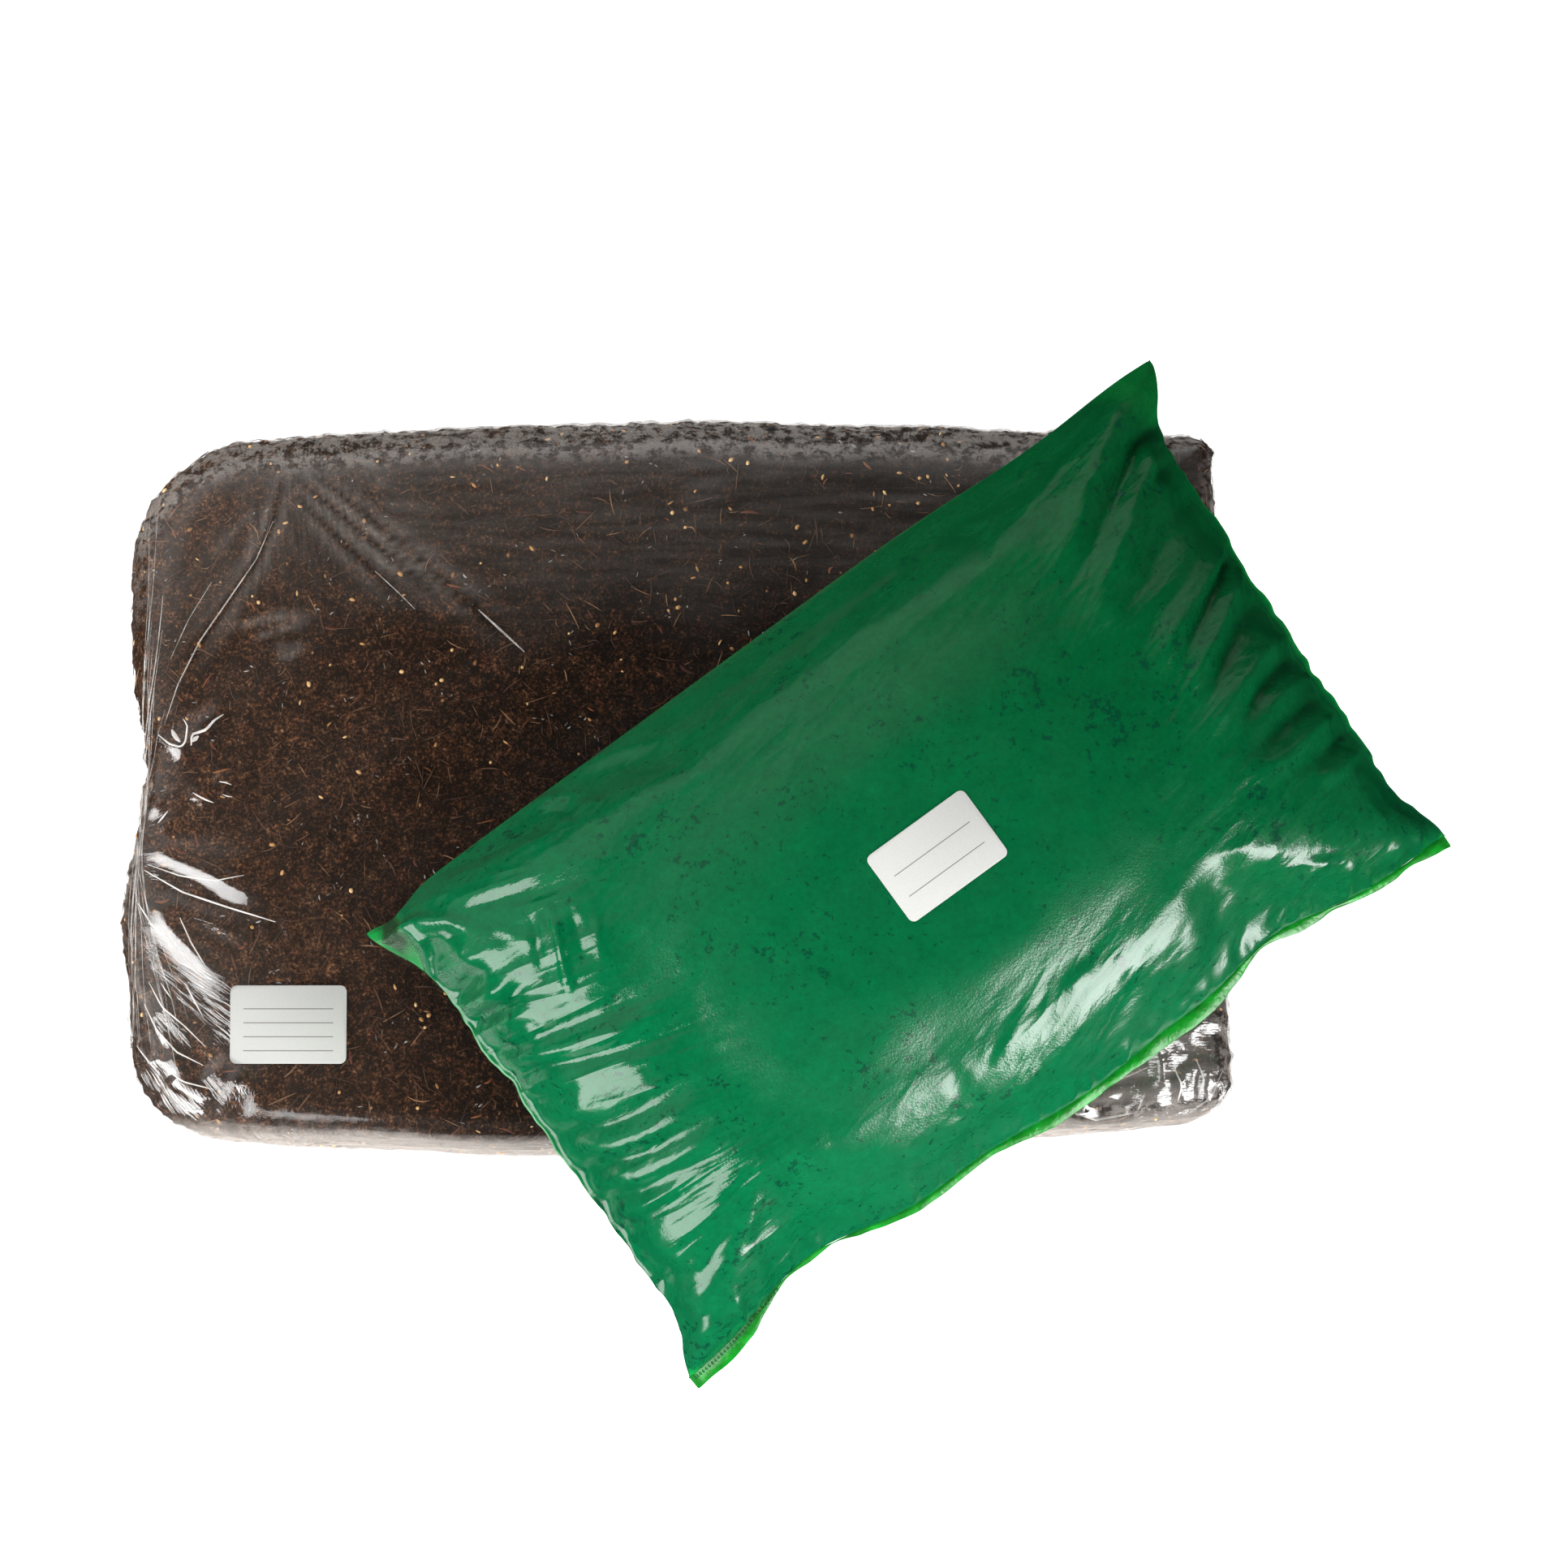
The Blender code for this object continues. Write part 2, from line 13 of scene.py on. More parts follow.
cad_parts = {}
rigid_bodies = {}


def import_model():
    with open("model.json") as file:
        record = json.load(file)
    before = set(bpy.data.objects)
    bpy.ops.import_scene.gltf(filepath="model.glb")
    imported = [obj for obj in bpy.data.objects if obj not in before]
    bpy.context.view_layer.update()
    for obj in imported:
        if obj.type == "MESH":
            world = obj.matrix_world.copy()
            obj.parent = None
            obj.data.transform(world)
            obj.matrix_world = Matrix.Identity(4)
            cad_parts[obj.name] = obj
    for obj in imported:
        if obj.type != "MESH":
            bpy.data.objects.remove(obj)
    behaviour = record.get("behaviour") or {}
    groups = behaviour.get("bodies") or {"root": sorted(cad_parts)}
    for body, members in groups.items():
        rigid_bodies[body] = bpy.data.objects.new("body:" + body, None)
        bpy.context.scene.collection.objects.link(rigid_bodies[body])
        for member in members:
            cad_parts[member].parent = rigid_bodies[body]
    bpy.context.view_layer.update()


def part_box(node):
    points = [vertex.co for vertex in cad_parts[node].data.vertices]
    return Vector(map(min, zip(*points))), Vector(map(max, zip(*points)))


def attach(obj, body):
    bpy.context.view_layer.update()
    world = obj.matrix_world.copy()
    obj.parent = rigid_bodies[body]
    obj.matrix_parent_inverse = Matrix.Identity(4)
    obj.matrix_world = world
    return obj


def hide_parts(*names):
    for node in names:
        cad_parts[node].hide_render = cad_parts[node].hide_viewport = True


bl_info = {
    "name": "Mushroom growing set",
    "version": (1, 0, 0),
    "blender": (4, 5, 0),
    "location": "View3D > Sidebar > Growing set",
    "description": "Dresses a film-wrapped compost block and its bag of casing peat",
    "category": "Object",
}

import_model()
BODY = "root"
MM = 0.001
# A metre in millimetres
METRE = 1000.0
WHITE = (1.0, 1.0, 1.0, 1.0)
# Large odd numbers and a mask that turn a cell's place into a random value
NOISE_STEPS = np.array([374761393, 668265263, 974634777])
LOW_BITS = 0xFFFFFFFF

# The block's shape in millimetres, as the solids have it
BLOCK_HEIGHT = 180.0
BLOCK_LEFT = 299.0
BLOCK_RIGHT = 298.0
BLOCK_FAR = 205.5
BLOCK_NEAR = 195.5
FAR_BOW_LEFT = 8.0
FAR_BOW_RIGHT = 5.0
NEAR_BOW = 8.0
BOW_REACH = 215.0
NEAR_BOW_SHIFT = -40.0
RIGHT_LEAN = 4.5
DENT_DEPTH = 6.0
DENT_Y = 18.0
DENT_WIDTH = 28.0
BULGE_DEPTH = 9.0
BULGE_Y = -75.0
BULGE_WIDTH = 42.0
CORNER_ROUND_NEAR = (52.0, 22.0)
CORNER_ROUND_FAR = (68.0, 12.0)
ROUND_FOOT = 12.0
LEAST_ROUND = 6.0
TOP_ROUND_SIDES = (22.0, 42.0)
TOP_DROP_SIDES = (20.0, 36.0)
TOP_ROUND_ENDS = (34.0, 18.0)
TOP_DROP_ENDS = (30.0, 20.0)
END_POWER = 8.0
HALF_TURN_SHARE = 1.0 - math.cos(math.radians(45))
WALL_SHARE = 0.7
SETTLE = 1.6
SETTLE_LENGTH_X = 118.0
SETTLE_LENGTH_Y = 83.0
GATHER_AT = (-47.0, 104.0)
GATHER_REACH = 85.0
DRAWN_TO = (-330.0, -42.0, 150.0)
COMPOST_RELIEF = (2.4, 2.6)
GATHER_DEPTH = 9.0
# The block's underside starts this far in from its edge
UNDER_INSET = 9.0

# The bag's shape in millimetres, in its own axes
BAG_AT = (129.4, -50.3)
BAG_TURN = math.radians(36.0)
BAG_REST = 180.3
BAG_THICKNESS = 109.2
BAG_CORNERS = ((-256.0, -151.5), (248.0, -154.5), (-256.0, 152.0), (270.0, 155.0))
EAR_LENGTH = 45.0
LEFT_PULL = 16.5
RIGHT_PULL_NEAR = 15.5
RIGHT_PULL_FAR = 22.5
NEAR_HOLLOWS = ((-165.0, 17.0, 52.0), (-60.0, 6.0, 40.0), (60.0, 3.0, 30.0), (135.0, 11.0, 40.0))
FAR_HOLLOWS = ((-236.0, 5.0, 14.0), (185.0, 4.5, 60.0))
LONG_EDGE_RISE = 40.0
SHORT_EDGE_RISE = 32.0
CORNER_RISE = 4.0
OVERHANG_START = 6.0
OVERHANG_SAG = 0.16
NEAR_SEAM_RISE = 30.0
FIN_WIDTH = 6.5
# The weld's width at these places along
FIN_WIDTHS = (
    (-262, -214, -196, -180, -168, -150, -128, -96, -50, -20)
    + (15, 46, 80, 104, 126, 150, 172, 200, 222, 240, 250),
    (8.0, 7.6, 3.2, 1.2, 3.4, 0.8, 2.8, 4.2, 3.4, 5.0)
    + (3.6, 5.4, 6.6, 4.0, 1.0, 4.6, 1.2, 3.0, 2.0, 5.0, 6.0),
)
END_WELD = 0.982
END_ROOT = 0.62
SIDE_WELD = 0.99
SIDE_ROOT = 0.56
BAG_CELLS = (136, 84)
BAG_LABEL_REST = 290.1
EMPTY_EARS = ((14.0, 0.6), (12.0, 0.8), (24.0, 0.3), (48.0, 0.14))
LIP = ((107.0, -240.5), (122.0, -237.5), (134.0, -236.0), (153.0, -233.5))
FLAP_RISE = 2.4
FLAP_DROP = 4.5
POCKET_AT = (-241.5, 140.0)
SEAM_WIDTH = 0.018
LEAST_GAP = 0.7
# The near seam's places across at these places along
NEAR_SEAM_AT = ((-256, -165, -60, 60, 135, 248), (-150, -134, -146, -150, -142, -152))
CLOTH_FRAMES = 26
CLOTH_SETTINGS = {
    "quality": 6,
    "mass": 0.15,
    "tension_stiffness": 60.0,
    "compression_stiffness": 60.0,
    "shear_stiffness": 20.0,
    "bending_stiffness": 0.1,
    "tension_damping": 10.0,
    "compression_damping": 10.0,
    "shear_damping": 10.0,
    "bending_damping": 0.5,
    "air_damping": 3.0,
    "use_pressure": True,
    "uniform_pressure_force": 5.0,
}

# Where the labels lie: the middle of each, in the block's and in the bag's axes
BLOCK_LABEL_AT = (-206.7, -127.1)
BAG_LABEL_AT = (10.5, -0.7)

# Folds of the bag's upper layer as (places along and across, half width, height), all in millimetres
LEFT_PLEATS = (
    (((-240, 52), (-199, 32), (-163, 21), (-122, 14)), 6.5, 5.0),
    (((-238, 60), (-202, 43), (-173, 34), (-140, 27)), 5.5, -5.0),
    (((-238, 44), (-202, 25), (-176, 13), (-150, 9)), 4.0, -4.0),
    (((-240, 34), (-221, 22), (-198, 12), (-161, -3)), 8.0, 2.6),
    (((-240, 27), (-221, 17), (-206, 11)), 3.0, -2.6),
    (((-238, 15), (-201, -5), (-175, -10), (-148, -22)), 7.0, 2.4),
    (((-238, 4), (-205, -14), (-178, -19), (-145, -22)), 5.0, -5.0),
    (((-240, -8), (-200, -26), (-175, -30), (-146, -34)), 7.0, 4.4),
    (((-240, -20), (-199, -37), (-170, -40), (-150, -42)), 4.5, -4.4),
    (((-240, -29), (-204, -46), (-169, -49), (-150, -52)), 6.0, 3.8),
    (((-241, -40), (-212, -50), (-180, -56), (-150, -60)), 4.5, -4.8),
    (((-241, -50), (-215, -58), (-190, -60)), 4.0, 2.6),
    (((-241, -60), (-205, -66), (-165, -66)), 4.0, -2.8),
    (((-240, -74), (-199, -80), (-160, -76)), 11.0, 5.0),
    (((-218, -104), (-190, -92), (-158, -74)), 5.0, -3.6),
    (((-241, -92), (-226, -96), (-214, -104)), 4.0, -3.4),
    (((-241, -106), (-222, -110), (-205, -108)), 4.5, 3.2),
    (((-243, -122), (-228, -122), (-208, -118)), 4.0, -2.4),
)
LEFT_CRUMPLES = (
    (((-252, 140), (-229, 135), (-214, 124), (-203, 108), (-205, 96)), 3.2, 4.6),
    (((-236, 122), (-222, 118), (-212, 110)), 5.5, -3.6),
    (((-238, 106), (-220, 106), (-205, 98), (-192, 92)), 7.0, 4.2),
    (((-240, 92), (-222, 94), (-208, 90)), 3.2, -3.4),
    (((-240, 86), (-226, 82), (-212, 79), (-202, 82), (-203, 90)), 3.6, 4.4),
    (((-238, 76), (-214, 70), (-198, 72)), 4.0, -3.8),
    (((-236, 70), (-214, 62), (-190, 58)), 5.0, 3.0),
    (((-236, 64), (-225, 55), (-210, 49), (-197, 50)), 2.8, 3.4),
    (((-168, 96), (-172, 84), (-178, 70), (-184, 57), (-190, 47)), 2.2, 2.8),
    (((-178, 98), (-186, 82), (-192, 66)), 3.0, -2.2),
    (((-196, 106), (-188, 92), (-180, 84)), 2.4, 1.6),
    (((-160, 88), (-166, 72), (-172, 58)), 3.4, -1.6),
    (((-150, 80), (-158, 66), (-162, 52)), 3.0, 1.3),
)
RIGHT_PLEATS = (
    (((248, 140), (231, 135), (186, 107), (150, 74)), 9.0, 4.2),
    (((246, 122), (214, 106), (176, 84), (150, 58)), 7.0, -3.0),
    (((244, 110), (206, 91), (176, 70), (128, 33)), 8.0, 3.6),
    (((238, 78), (200, 62), (160, 38)), 8.0, -3.2),
    (((238, 50), (217, 36), (182, 20), (150, 6)), 6.5, 4.0),
    (((236, 40), (206, 24), (170, 6)), 5.0, -3.4),
    (((236, 32), (209, 15), (174, -5), (152, -14)), 6.0, 4.2),
    (((236, 12), (206, 0), (170, -18)), 6.5, -3.4),
    (((236, -10), (207, -15), (180, -25), (150, -37)), 6.5, 3.8),
    (((234, -24), (205, -28), (176, -40)), 5.0, -3.0),
    (((234, -36), (210, -36), (180, -46)), 4.5, 2.6),
    (((232, -50), (204, -52), (168, -58)), 5.0, -3.2),
    (((232, -60), (200, -63), (160, -66)), 5.5, 3.4),
    (((232, -72), (214, -76), (198, -76)), 3.0, -2.4),
    (((232, -82), (212, -86), (190, -84)), 4.0, 2.6),
    (((244, 116), (228, 108), (220, 98)), 3.0, 3.4),
    (((238, 100), (218, 92), (204, 87)), 4.0, -2.6),
)
SIDE_FOLDS = (
    (((-142, 150), (-130, 144), (-119, 137), (-116, 126)), 4.0, 2.6),
    (((-134, 140), (-124, 132)), 4.0, -2.4),
    (((-205, 132), (-181, 122), (-148, 108)), 5.0, 2.2),
    (((-200, 122), (-176, 114), (-150, 101)), 4.0, -1.8),
    (((-128, 158), (-90, 145), (-52, 130), (-30, 120)), 4.5, 1.8),
    (((-152, 132), (-146, 114), (-122, 94)), 8.0, 1.4),
    (((-26, -103), (-7, -97), (12, -94)), 4.0, 1.5),
    (((24, -96), (46, -92)), 4.0, 1.4),
    (((-78, -124), (-40, -122), (0, -124)), 6.0, 1.8),
    (((20, -130), (52, -118), (78, -100)), 5.0, -1.8),
    (((60, -134), (92, -122), (112, -104)), 5.0, 2.0),
    (((104, -138), (124, -128), (134, -114)), 4.0, -2.4),
    (((118, -142), (142, -128), (170, -119), (196, -134)), 3.0, 2.4),
    (((140, -146), (160, -138), (182, -134)), 3.2, -2.2),
    (((150, -108), (172, -117), (196, -133)), 1.6, 1.0),
    (((-150, -128), (-128, -120), (-112, -104)), 3.5, 1.8),
    (((-172, -128), (-160, -116), (-152, -100)), 3.5, -1.8),
    (((-205, -134), (-192, -124), (-182, -108)), 3.5, 1.8),
)

# Folds of the clear film on the block's top as (places, half width, height), in millimetres
FILM_FOLDS = (
    (((-202, 177), (-170, 150), (-138, 124), (-108, 98), (-81, 74)), 3.4, 0.55),
    (((-206, 170), (-172, 141), (-140, 115), (-110, 90)), 2.6, -0.35),
    (((-204, 158), (-180, 134), (-158, 114), (-140, 97)), 2.6, 0.4),
    (((-212, 175), (-217, 145), (-226, 124), (-239, 105), (-256, 80), (-268, 56)), 2.8, 0.5),
    (((-290, -31), (-262, -41), (-232, -53), (-202, -67)), 6.0, 5.0),
    (((-287, -28), (-256, -34), (-230, -41), (-214, -44)), 4.6, 2.8),
    (((-284, -36), (-256, -50), (-238, -57)), 2.0, -1.8),
    (((-285, -42), (-262, -54), (-244, -61)), 2.6, 1.8),
    (((-286, -56), (-266, -78), (-246, -97), (-226, -114)), 7.5, 5.6),
    (((-280, -58), (-254, -69), (-234, -78), (-222, -96)), 6.0, 3.6),
    (((-272, -70), (-256, -84), (-240, -100)), 1.8, -1.6),
    (((-226, -70), (-214, -79)), 3.0, 1.5),
    (((-212, -70), (-202, -82)), 2.4, 1.2),
    (((-291, -94), (-284, -110), (-273, -124), (-260, -138), (-248, -148)), 6.0, 4.6),
    (((-279, -104), (-271, -118), (-262, -128), (-251, -138)), 3.0, 2.6),
    (((-285, -114), (-278, -128), (-268, -141), (-256, -147), (-248, -150)), 3.0, 3.2),
    (((-283, -132), (-274, -146), (-264, -155), (-252, -161), (-242, -163)), 4.6, 4.4),
    (((-272, -143), (-262, -150), (-252, -154)), 3.6, 2.8),
    (((-290, -136), (-284, -144), (-275, -154)), 2.8, 2.6),
    (((-272, -155), (-261, -162), (-250, -168), (-240, -171)), 3.4, 3.0),
    (((-250, -148), (-240, -158), (-226, -164)), 11.0, 4.4),
    (((-236, -152), (-226, -160), (-214, -163)), 7.0, 2.6),
    (((-275, 37), (-278, 29), (-267, 22), (-262, 26), (-263, 37)), 3.4, 4.2),
    (((-261, 34), (-250, 37), (-240, 41)), 4.0, 3.2),
    (((-261, 24), (-254, 28), (-246, 33)), 4.4, 3.4),
    (((-262, 0), (-248, -9)), 2.6, 2.2),
    (((-248, 7), (-234, 2)), 2.6, 1.8),
    (((-245, -3), (-235, -5)), 2.0, 1.2),
    (((-285, -15), (-274, -3)), 3.0, 2.6),
    (((-280, -22), (-270, -20)), 2.2, 1.3),
)
FAR_RIPPLES = (
    (((4, 172), (22, 173), (42, 171)), 3.0, 2.0),
    (((8, 163), (26, 164), (44, 161)), 3.0, 2.3),
    (((6, 154), (24, 155), (40, 152)), 3.0, 2.1),
    (((10, 146), (26, 146), (38, 144)), 2.6, 1.6),
    (((34, 134), (52, 130), (76, 129)), 2.4, 1.5),
    (((-60, 162), (-30, 158), (0, 160)), 4.0, 1.5),
    (((90, 158), (120, 152), (150, 154)), 4.0, 1.5),
)
CORNER_SWIRLS = (
    (((204, -170), (222, -176), (240, -176), (252, -170), (252, -160), (242, -156)), 4.2, 4.2),
    (((212, -160), (228, -166), (242, -162)), 3.0, 2.8),
    (((218, -152), (236, -152), (254, -144)), 3.6, 3.2),
    (((224, -143), (240, -143), (256, -134)), 3.2, 2.6),
    (((256, -128), (262, -146), (261, -164), (268, -178)), 8.5, 6.2),
    (((278, -148), (272, -160), (277, -174)), 4.0, 3.6),
    (((290, -148), (284, -160), (288, -174)), 3.4, 3.0),
    (((272, -108), (262, -124)), 7.0, 4.0),
    (((286, -118), (276, -134), (280, -146)), 4.0, 3.0),
    (((238, -186), (262, -184), (284, -180)), 3.2, 2.6),
    (((214, -184), (230, -188), (250, -186)), 2.4, 1.8),
)

# Lean of the bag's pleats against its length at each end, as (place across where a pleat starts, lean)
LEFT_LEANS = (
    (-150, 0.3), (-122, 0.1), (-74, -0.03), (-50, -0.2), (-29, -0.26), (4, -0.3), (52, -0.32), (110, -0.3)
)
RIGHT_LEANS = (
    (-100, 0.03), (-60, 0.08), (-10, 0.31), (12, 0.44), (32, 0.52), (78, 0.52), (110, 0.64), (140, 0.67)
)

# Creases lie only where the film's upward share of its normal is above this
STEEPEST_FOR_CREASES = 0.22
# Sharp creases of the film as (places, radius in millimetres)
FILM_CREASES = (
    (((-106, 97), (-94, 86), (-81, 74)), 0.6),
    (((-162, 118), (-150, 107), (-140, 97)), 0.3),
    (((-217, 145), (-226, 124), (-239, 105), (-256, 80), (-268, 56), (-275, 35)), 0.42),
    (((-250, 112), (-262, 92), (-272, 70)), 0.25),
    (((206, -172), (226, -178), (248, -174), (252, -164)), 0.6),
    (((224, -158), (240, -156), (254, -150)), 0.5),
    (((262, -184), (280, -180), (292, -170)), 0.5),
    (((274, -176), (288, -166), (294, -152)), 0.4),
)
# Faint streaks of haze on the flat top as (places, half width, strength)
HAZE_STREAKS = [
    (((-240, 87), (-216, 93), (-191, 94)), 2.6, 0.06),
    (((-229, 81), (-210, 87), (-194, 91)), 1.8, 0.05),
    (((-216, 76), (-205, 76), (-196, 76)), 2.4, 0.05),
    (((-214, 70), (-202, 73)), 2.0, 0.06),
    (((-228, 150), (-240, 138), (-252, 120)), 2.2, 0.04),
    (((-170, 172), (-150, 160), (-120, 150)), 6.0, 0.02),
]
# Hard creases of the film, drawn pale as a painted highlight of their glint, as (places, radius)
FILM_GLINTS = (
    (((-278, 29), (-272, 24), (-265.5, 22), (-263, 25), (-262.4, 34), (-264.6, 37.5)), 0.6),
    (((-271, 32), (-269, 28), (-266, 25)), 1.3),
    (((-260, 23), (-259.6, 29), (-252, 31.5), (-248, 36.5), (-243, 40)), 0.8),
    (((-259.5, 25), (-256, 28)), 1.3),
    (((-259, -2.4), (-253.5, -5.6), (-248, -7.7)), 0.5),
    (((-245, 3.7), (-241.5, 3.2), (-238.4, 2)), 0.4),
    (((-243.2, -3.3), (-240.5, -4.2), (-238, -4.6)), 0.35),
    (((-278, -18.6), (-275, -15), (-272.5, -12)), 0.45),
    (((-265, -70), (-259, -83), (-251, -96)), 0.4),
    (((-262.4, -104.5), (-257.5, -114), (-252.4, -123)), 0.4),
    (((-275.5, -104.5), (-272.5, -109), (-269.4, -113.3)), 0.35),
    (((-283, -41), (-266, -47), (-246, -50), (-231, -47)), 0.4),
    (((-285, -44), (-264, -56), (-240, -64), (-214, -72)), 0.5),
    (((-288, -62), (-280, -74), (-268, -86)), 0.5),
    (((-284, -116), (-277, -130), (-266, -142), (-252, -149)), 0.45),
    (((-282, -104), (-274, -118), (-262, -128), (-251, -139)), 0.4),
    (((-289, -138), (-284, -144), (-275, -155)), 0.4),
    (((-278, -147), (-262, -158), (-246, -162)), 0.4),
    (((-262, -172.5), (-257, -173.5), (-252, -173)), 0.6),
    (((248, -139), (258, -136), (266, -142)), 0.5),
    (((268, -150), (272, -160), (270, -168)), 0.5),
    (((280, -146), (284, -156), (281, -166)), 0.4),
)


def bell(distance, width):
    """1 at no distance, falling smoothly to 0."""
    return np.exp(-((distance / width) ** 2))


def smooth(share, low=0.0, high=1.0):
    """A smooth step from low to high as share goes from 0 to 1."""
    share = np.clip(share, 0.0, 1.0)
    return low + (high - low) * share * share * (3.0 - 2.0 * share)


def noise(points, size, seed):
    """Smooth random values from -1 to 1 whose lumps are about this size."""
    place = np.asarray(points, float) / size + seed * 17.31
    cell = np.floor(place).astype(np.int64)
    part = place - cell
    part = part * part * (3.0 - 2.0 * part)
    total = np.zeros(len(place))
    for corner in itertools.product((0, 1), repeat=3):
        key = cell + np.array(corner)
        mixed = (key @ NOISE_STEPS + seed * 1013) & LOW_BITS
        mixed = ((mixed ^ (mixed >> 13)) * 1274126177) & LOW_BITS
        value = (mixed ^ (mixed >> 16)) / LOW_BITS * 2.0 - 1.0
        weight = np.prod(np.where(np.array(corner) > 0, part, 1.0 - part), axis=1)
        total += value * weight
    return total


def fold_field(places, folds):
    """Height of these folds at each place of an (n, 2) array. A fold widens and fades towards its end."""
    height = np.zeros(len(places))
    for points, width, rise in folds:
        line = np.array(points, float)
        steps = np.linalg.norm(np.diff(line, axis=0), axis=1)
        length = steps.sum()
        away = np.full(len(places), 1e9)
        along = np.zeros(len(places))
        walked = 0.0
        for start, end, step in zip(line[:-1], line[1:], steps):
            way = (end - start) / step
            share = np.clip((places - start) @ way, 0.0, step)
            distance = np.linalg.norm(places - start - share[:, None] * way, axis=1)
            nearer = distance < away
            away[nearer] = distance[nearer]
            along[nearer] = walked + share[nearer]
            walked += step
        fade = smooth((length - along) / (0.45 * length)) * smooth(along / (0.2 * length), 0.35, 1.0)
        spread = width * (0.62 + 0.76 * along / length)
        tent = np.maximum(0.0, 1.0 - away / (1.75 * spread))
        height += rise * fade * (0.7 * tent + 0.3 * bell(away, spread))
    return height


def linear(text):
    """The linear colour of an sRGB hex value."""
    values = [int(text[n : n + 2], 16) / 255.0 for n in (1, 3, 5)]
    return [v / 12.92 if v <= 0.04045 else ((v + 0.055) / 1.055) ** 2.4 for v in values] + [1.0]


def add_node(tree, kind, inputs=(), out=0, stops=(), **settings):
    """Adds a node with its settings and links, and gives one of its outputs, or all of them where out is None.

    A kind that doesn't say Node is a shader node. An input is a value or the output of another node.
    The stops are those of a colour ramp, as (place, hex) pairs.
    """
    made = tree.nodes.new(kind if "Node" in kind else "ShaderNode" + kind)
    for name, value in settings.items():
        setattr(made, name, value)
    for key, value in inputs.items() if isinstance(inputs, dict) else enumerate(inputs):
        if isinstance(value, bpy.types.NodeSocket):
            tree.links.new(value, made.inputs[key])
        else:
            made.inputs[key].default_value = value
    if stops:
        elements = made.color_ramp.elements
        while len(elements) < len(stops):
            elements.new(0.5)
        for element, (place, colour) in zip(elements, stops):
            element.position = place
            element.color = linear(colour)
    return made.outputs[out] if made.outputs and out is not None else made.outputs


def new_material(name):
    """An empty material, its node tree, and the place in the object for its patterns."""
    made = bpy.data.materials.new(name)
    made.use_nodes = True
    made.node_tree.nodes.clear()
    return made, made.node_tree, add_node(made.node_tree, "TexCoord", out="Object")


def ridged(tree, height, stream, scale, where, share):
    """Adds ridges to a height: they are sharp where the noise along this stream crosses its middle."""
    wave = add_node(tree, "TexNoise", {"Vector": stream, "Scale": scale, "Detail": 1.0})
    away = add_node(tree, "Math", (wave, 0.5), operation="SUBTRACT")
    ridge = add_node(tree, "Math", (away,), operation="ABSOLUTE")
    ridge = add_node(tree, "Math", (ridge, where), operation="MULTIPLY")
    return add_node(tree, "Math", (ridge, share, height), operation="MULTIPLY_ADD")


def placed(name, data):
    """An object in the scene that holds this mesh, curve, light or camera."""
    made = bpy.data.objects.new(name, data)
    bpy.context.scene.collection.objects.link(made)
    return made


def show(mesh, name, material, slot=None, nodes=()):
    """Puts a finished mesh in the scene, riding on the body, in place of the CAD nodes it stands for."""
    if material:
        mesh.materials.clear()
        mesh.materials.append(material)
    mesh.shade_smooth()
    mesh.name = name
    made = placed(name, mesh)
    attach(made, BODY)
    if nodes:
        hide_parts(*nodes)
    return made


def mesh_of(name, points, faces):
    """A mesh from points in millimetres."""
    mesh = bpy.data.meshes.new(name)
    mesh.from_pydata((np.asarray(points) * MM).tolist(), [], [list(map(int, face)) for face in faces])
    mesh.update()
    return mesh


def points_of(mesh):
    """A mesh's points in millimetres."""
    flat = np.empty(len(mesh.vertices) * 3, np.float32)
    mesh.vertices.foreach_get("co", flat)
    return flat.reshape(-1, 3).astype(float) / MM


def normals_of(mesh):
    """A mesh's point normals."""
    flat = np.empty(len(mesh.vertices) * 3, np.float32)
    mesh.vertex_normals.foreach_get("vector", flat)
    return flat.reshape(-1, 3).astype(float)


def move_points(mesh, points):
    """Sets a mesh's points, in millimetres."""
    mesh.vertices.foreach_set("co", (np.asarray(points) * MM).astype(np.float32).ravel())
    mesh.update()


def set_attribute(mesh, name, values):
    """Stores one number for each point, for a material to read."""
    made = mesh.attributes.new(name, "FLOAT", "POINT")
    made.data.foreach_set("value", np.asarray(values, np.float32))


def get_attribute(mesh, name):
    """The values of a number attribute of a mesh's points."""
    values = np.zeros(len(mesh.vertices), np.float32)
    mesh.attributes[name].data.foreach_get("value", values)
    return values.astype(float)


def set_vector(mesh, name, values):
    """Stores one vector for each point, for a material to read."""
    made = mesh.attributes.new(name, "FLOAT_VECTOR", "POINT")
    made.data.foreach_set("vector", np.asarray(values, np.float32).ravel())


def finished(made):
    """The plain mesh of an object with its modifiers applied. The object goes."""
    bpy.context.view_layer.update()
    graph = bpy.context.evaluated_depsgraph_get()
    mesh = bpy.data.meshes.new_from_object(made.evaluated_get(graph))
    bpy.data.objects.remove(made, do_unlink=True)
    return mesh


def path_holder(name, paths):
    """An object with a straight-edged curve through each list of places, in metres."""
    curve = bpy.data.curves.new(name + "_paths", "CURVE")
    curve.dimensions = "3D"
    for path in paths:
        spline = curve.splines.new("POLY")
        spline.points.add(len(path) - 1)
        for point, place in zip(spline.points, path):
            point.co = (*place, 1.0)
    return placed(name + "_holder", curve)


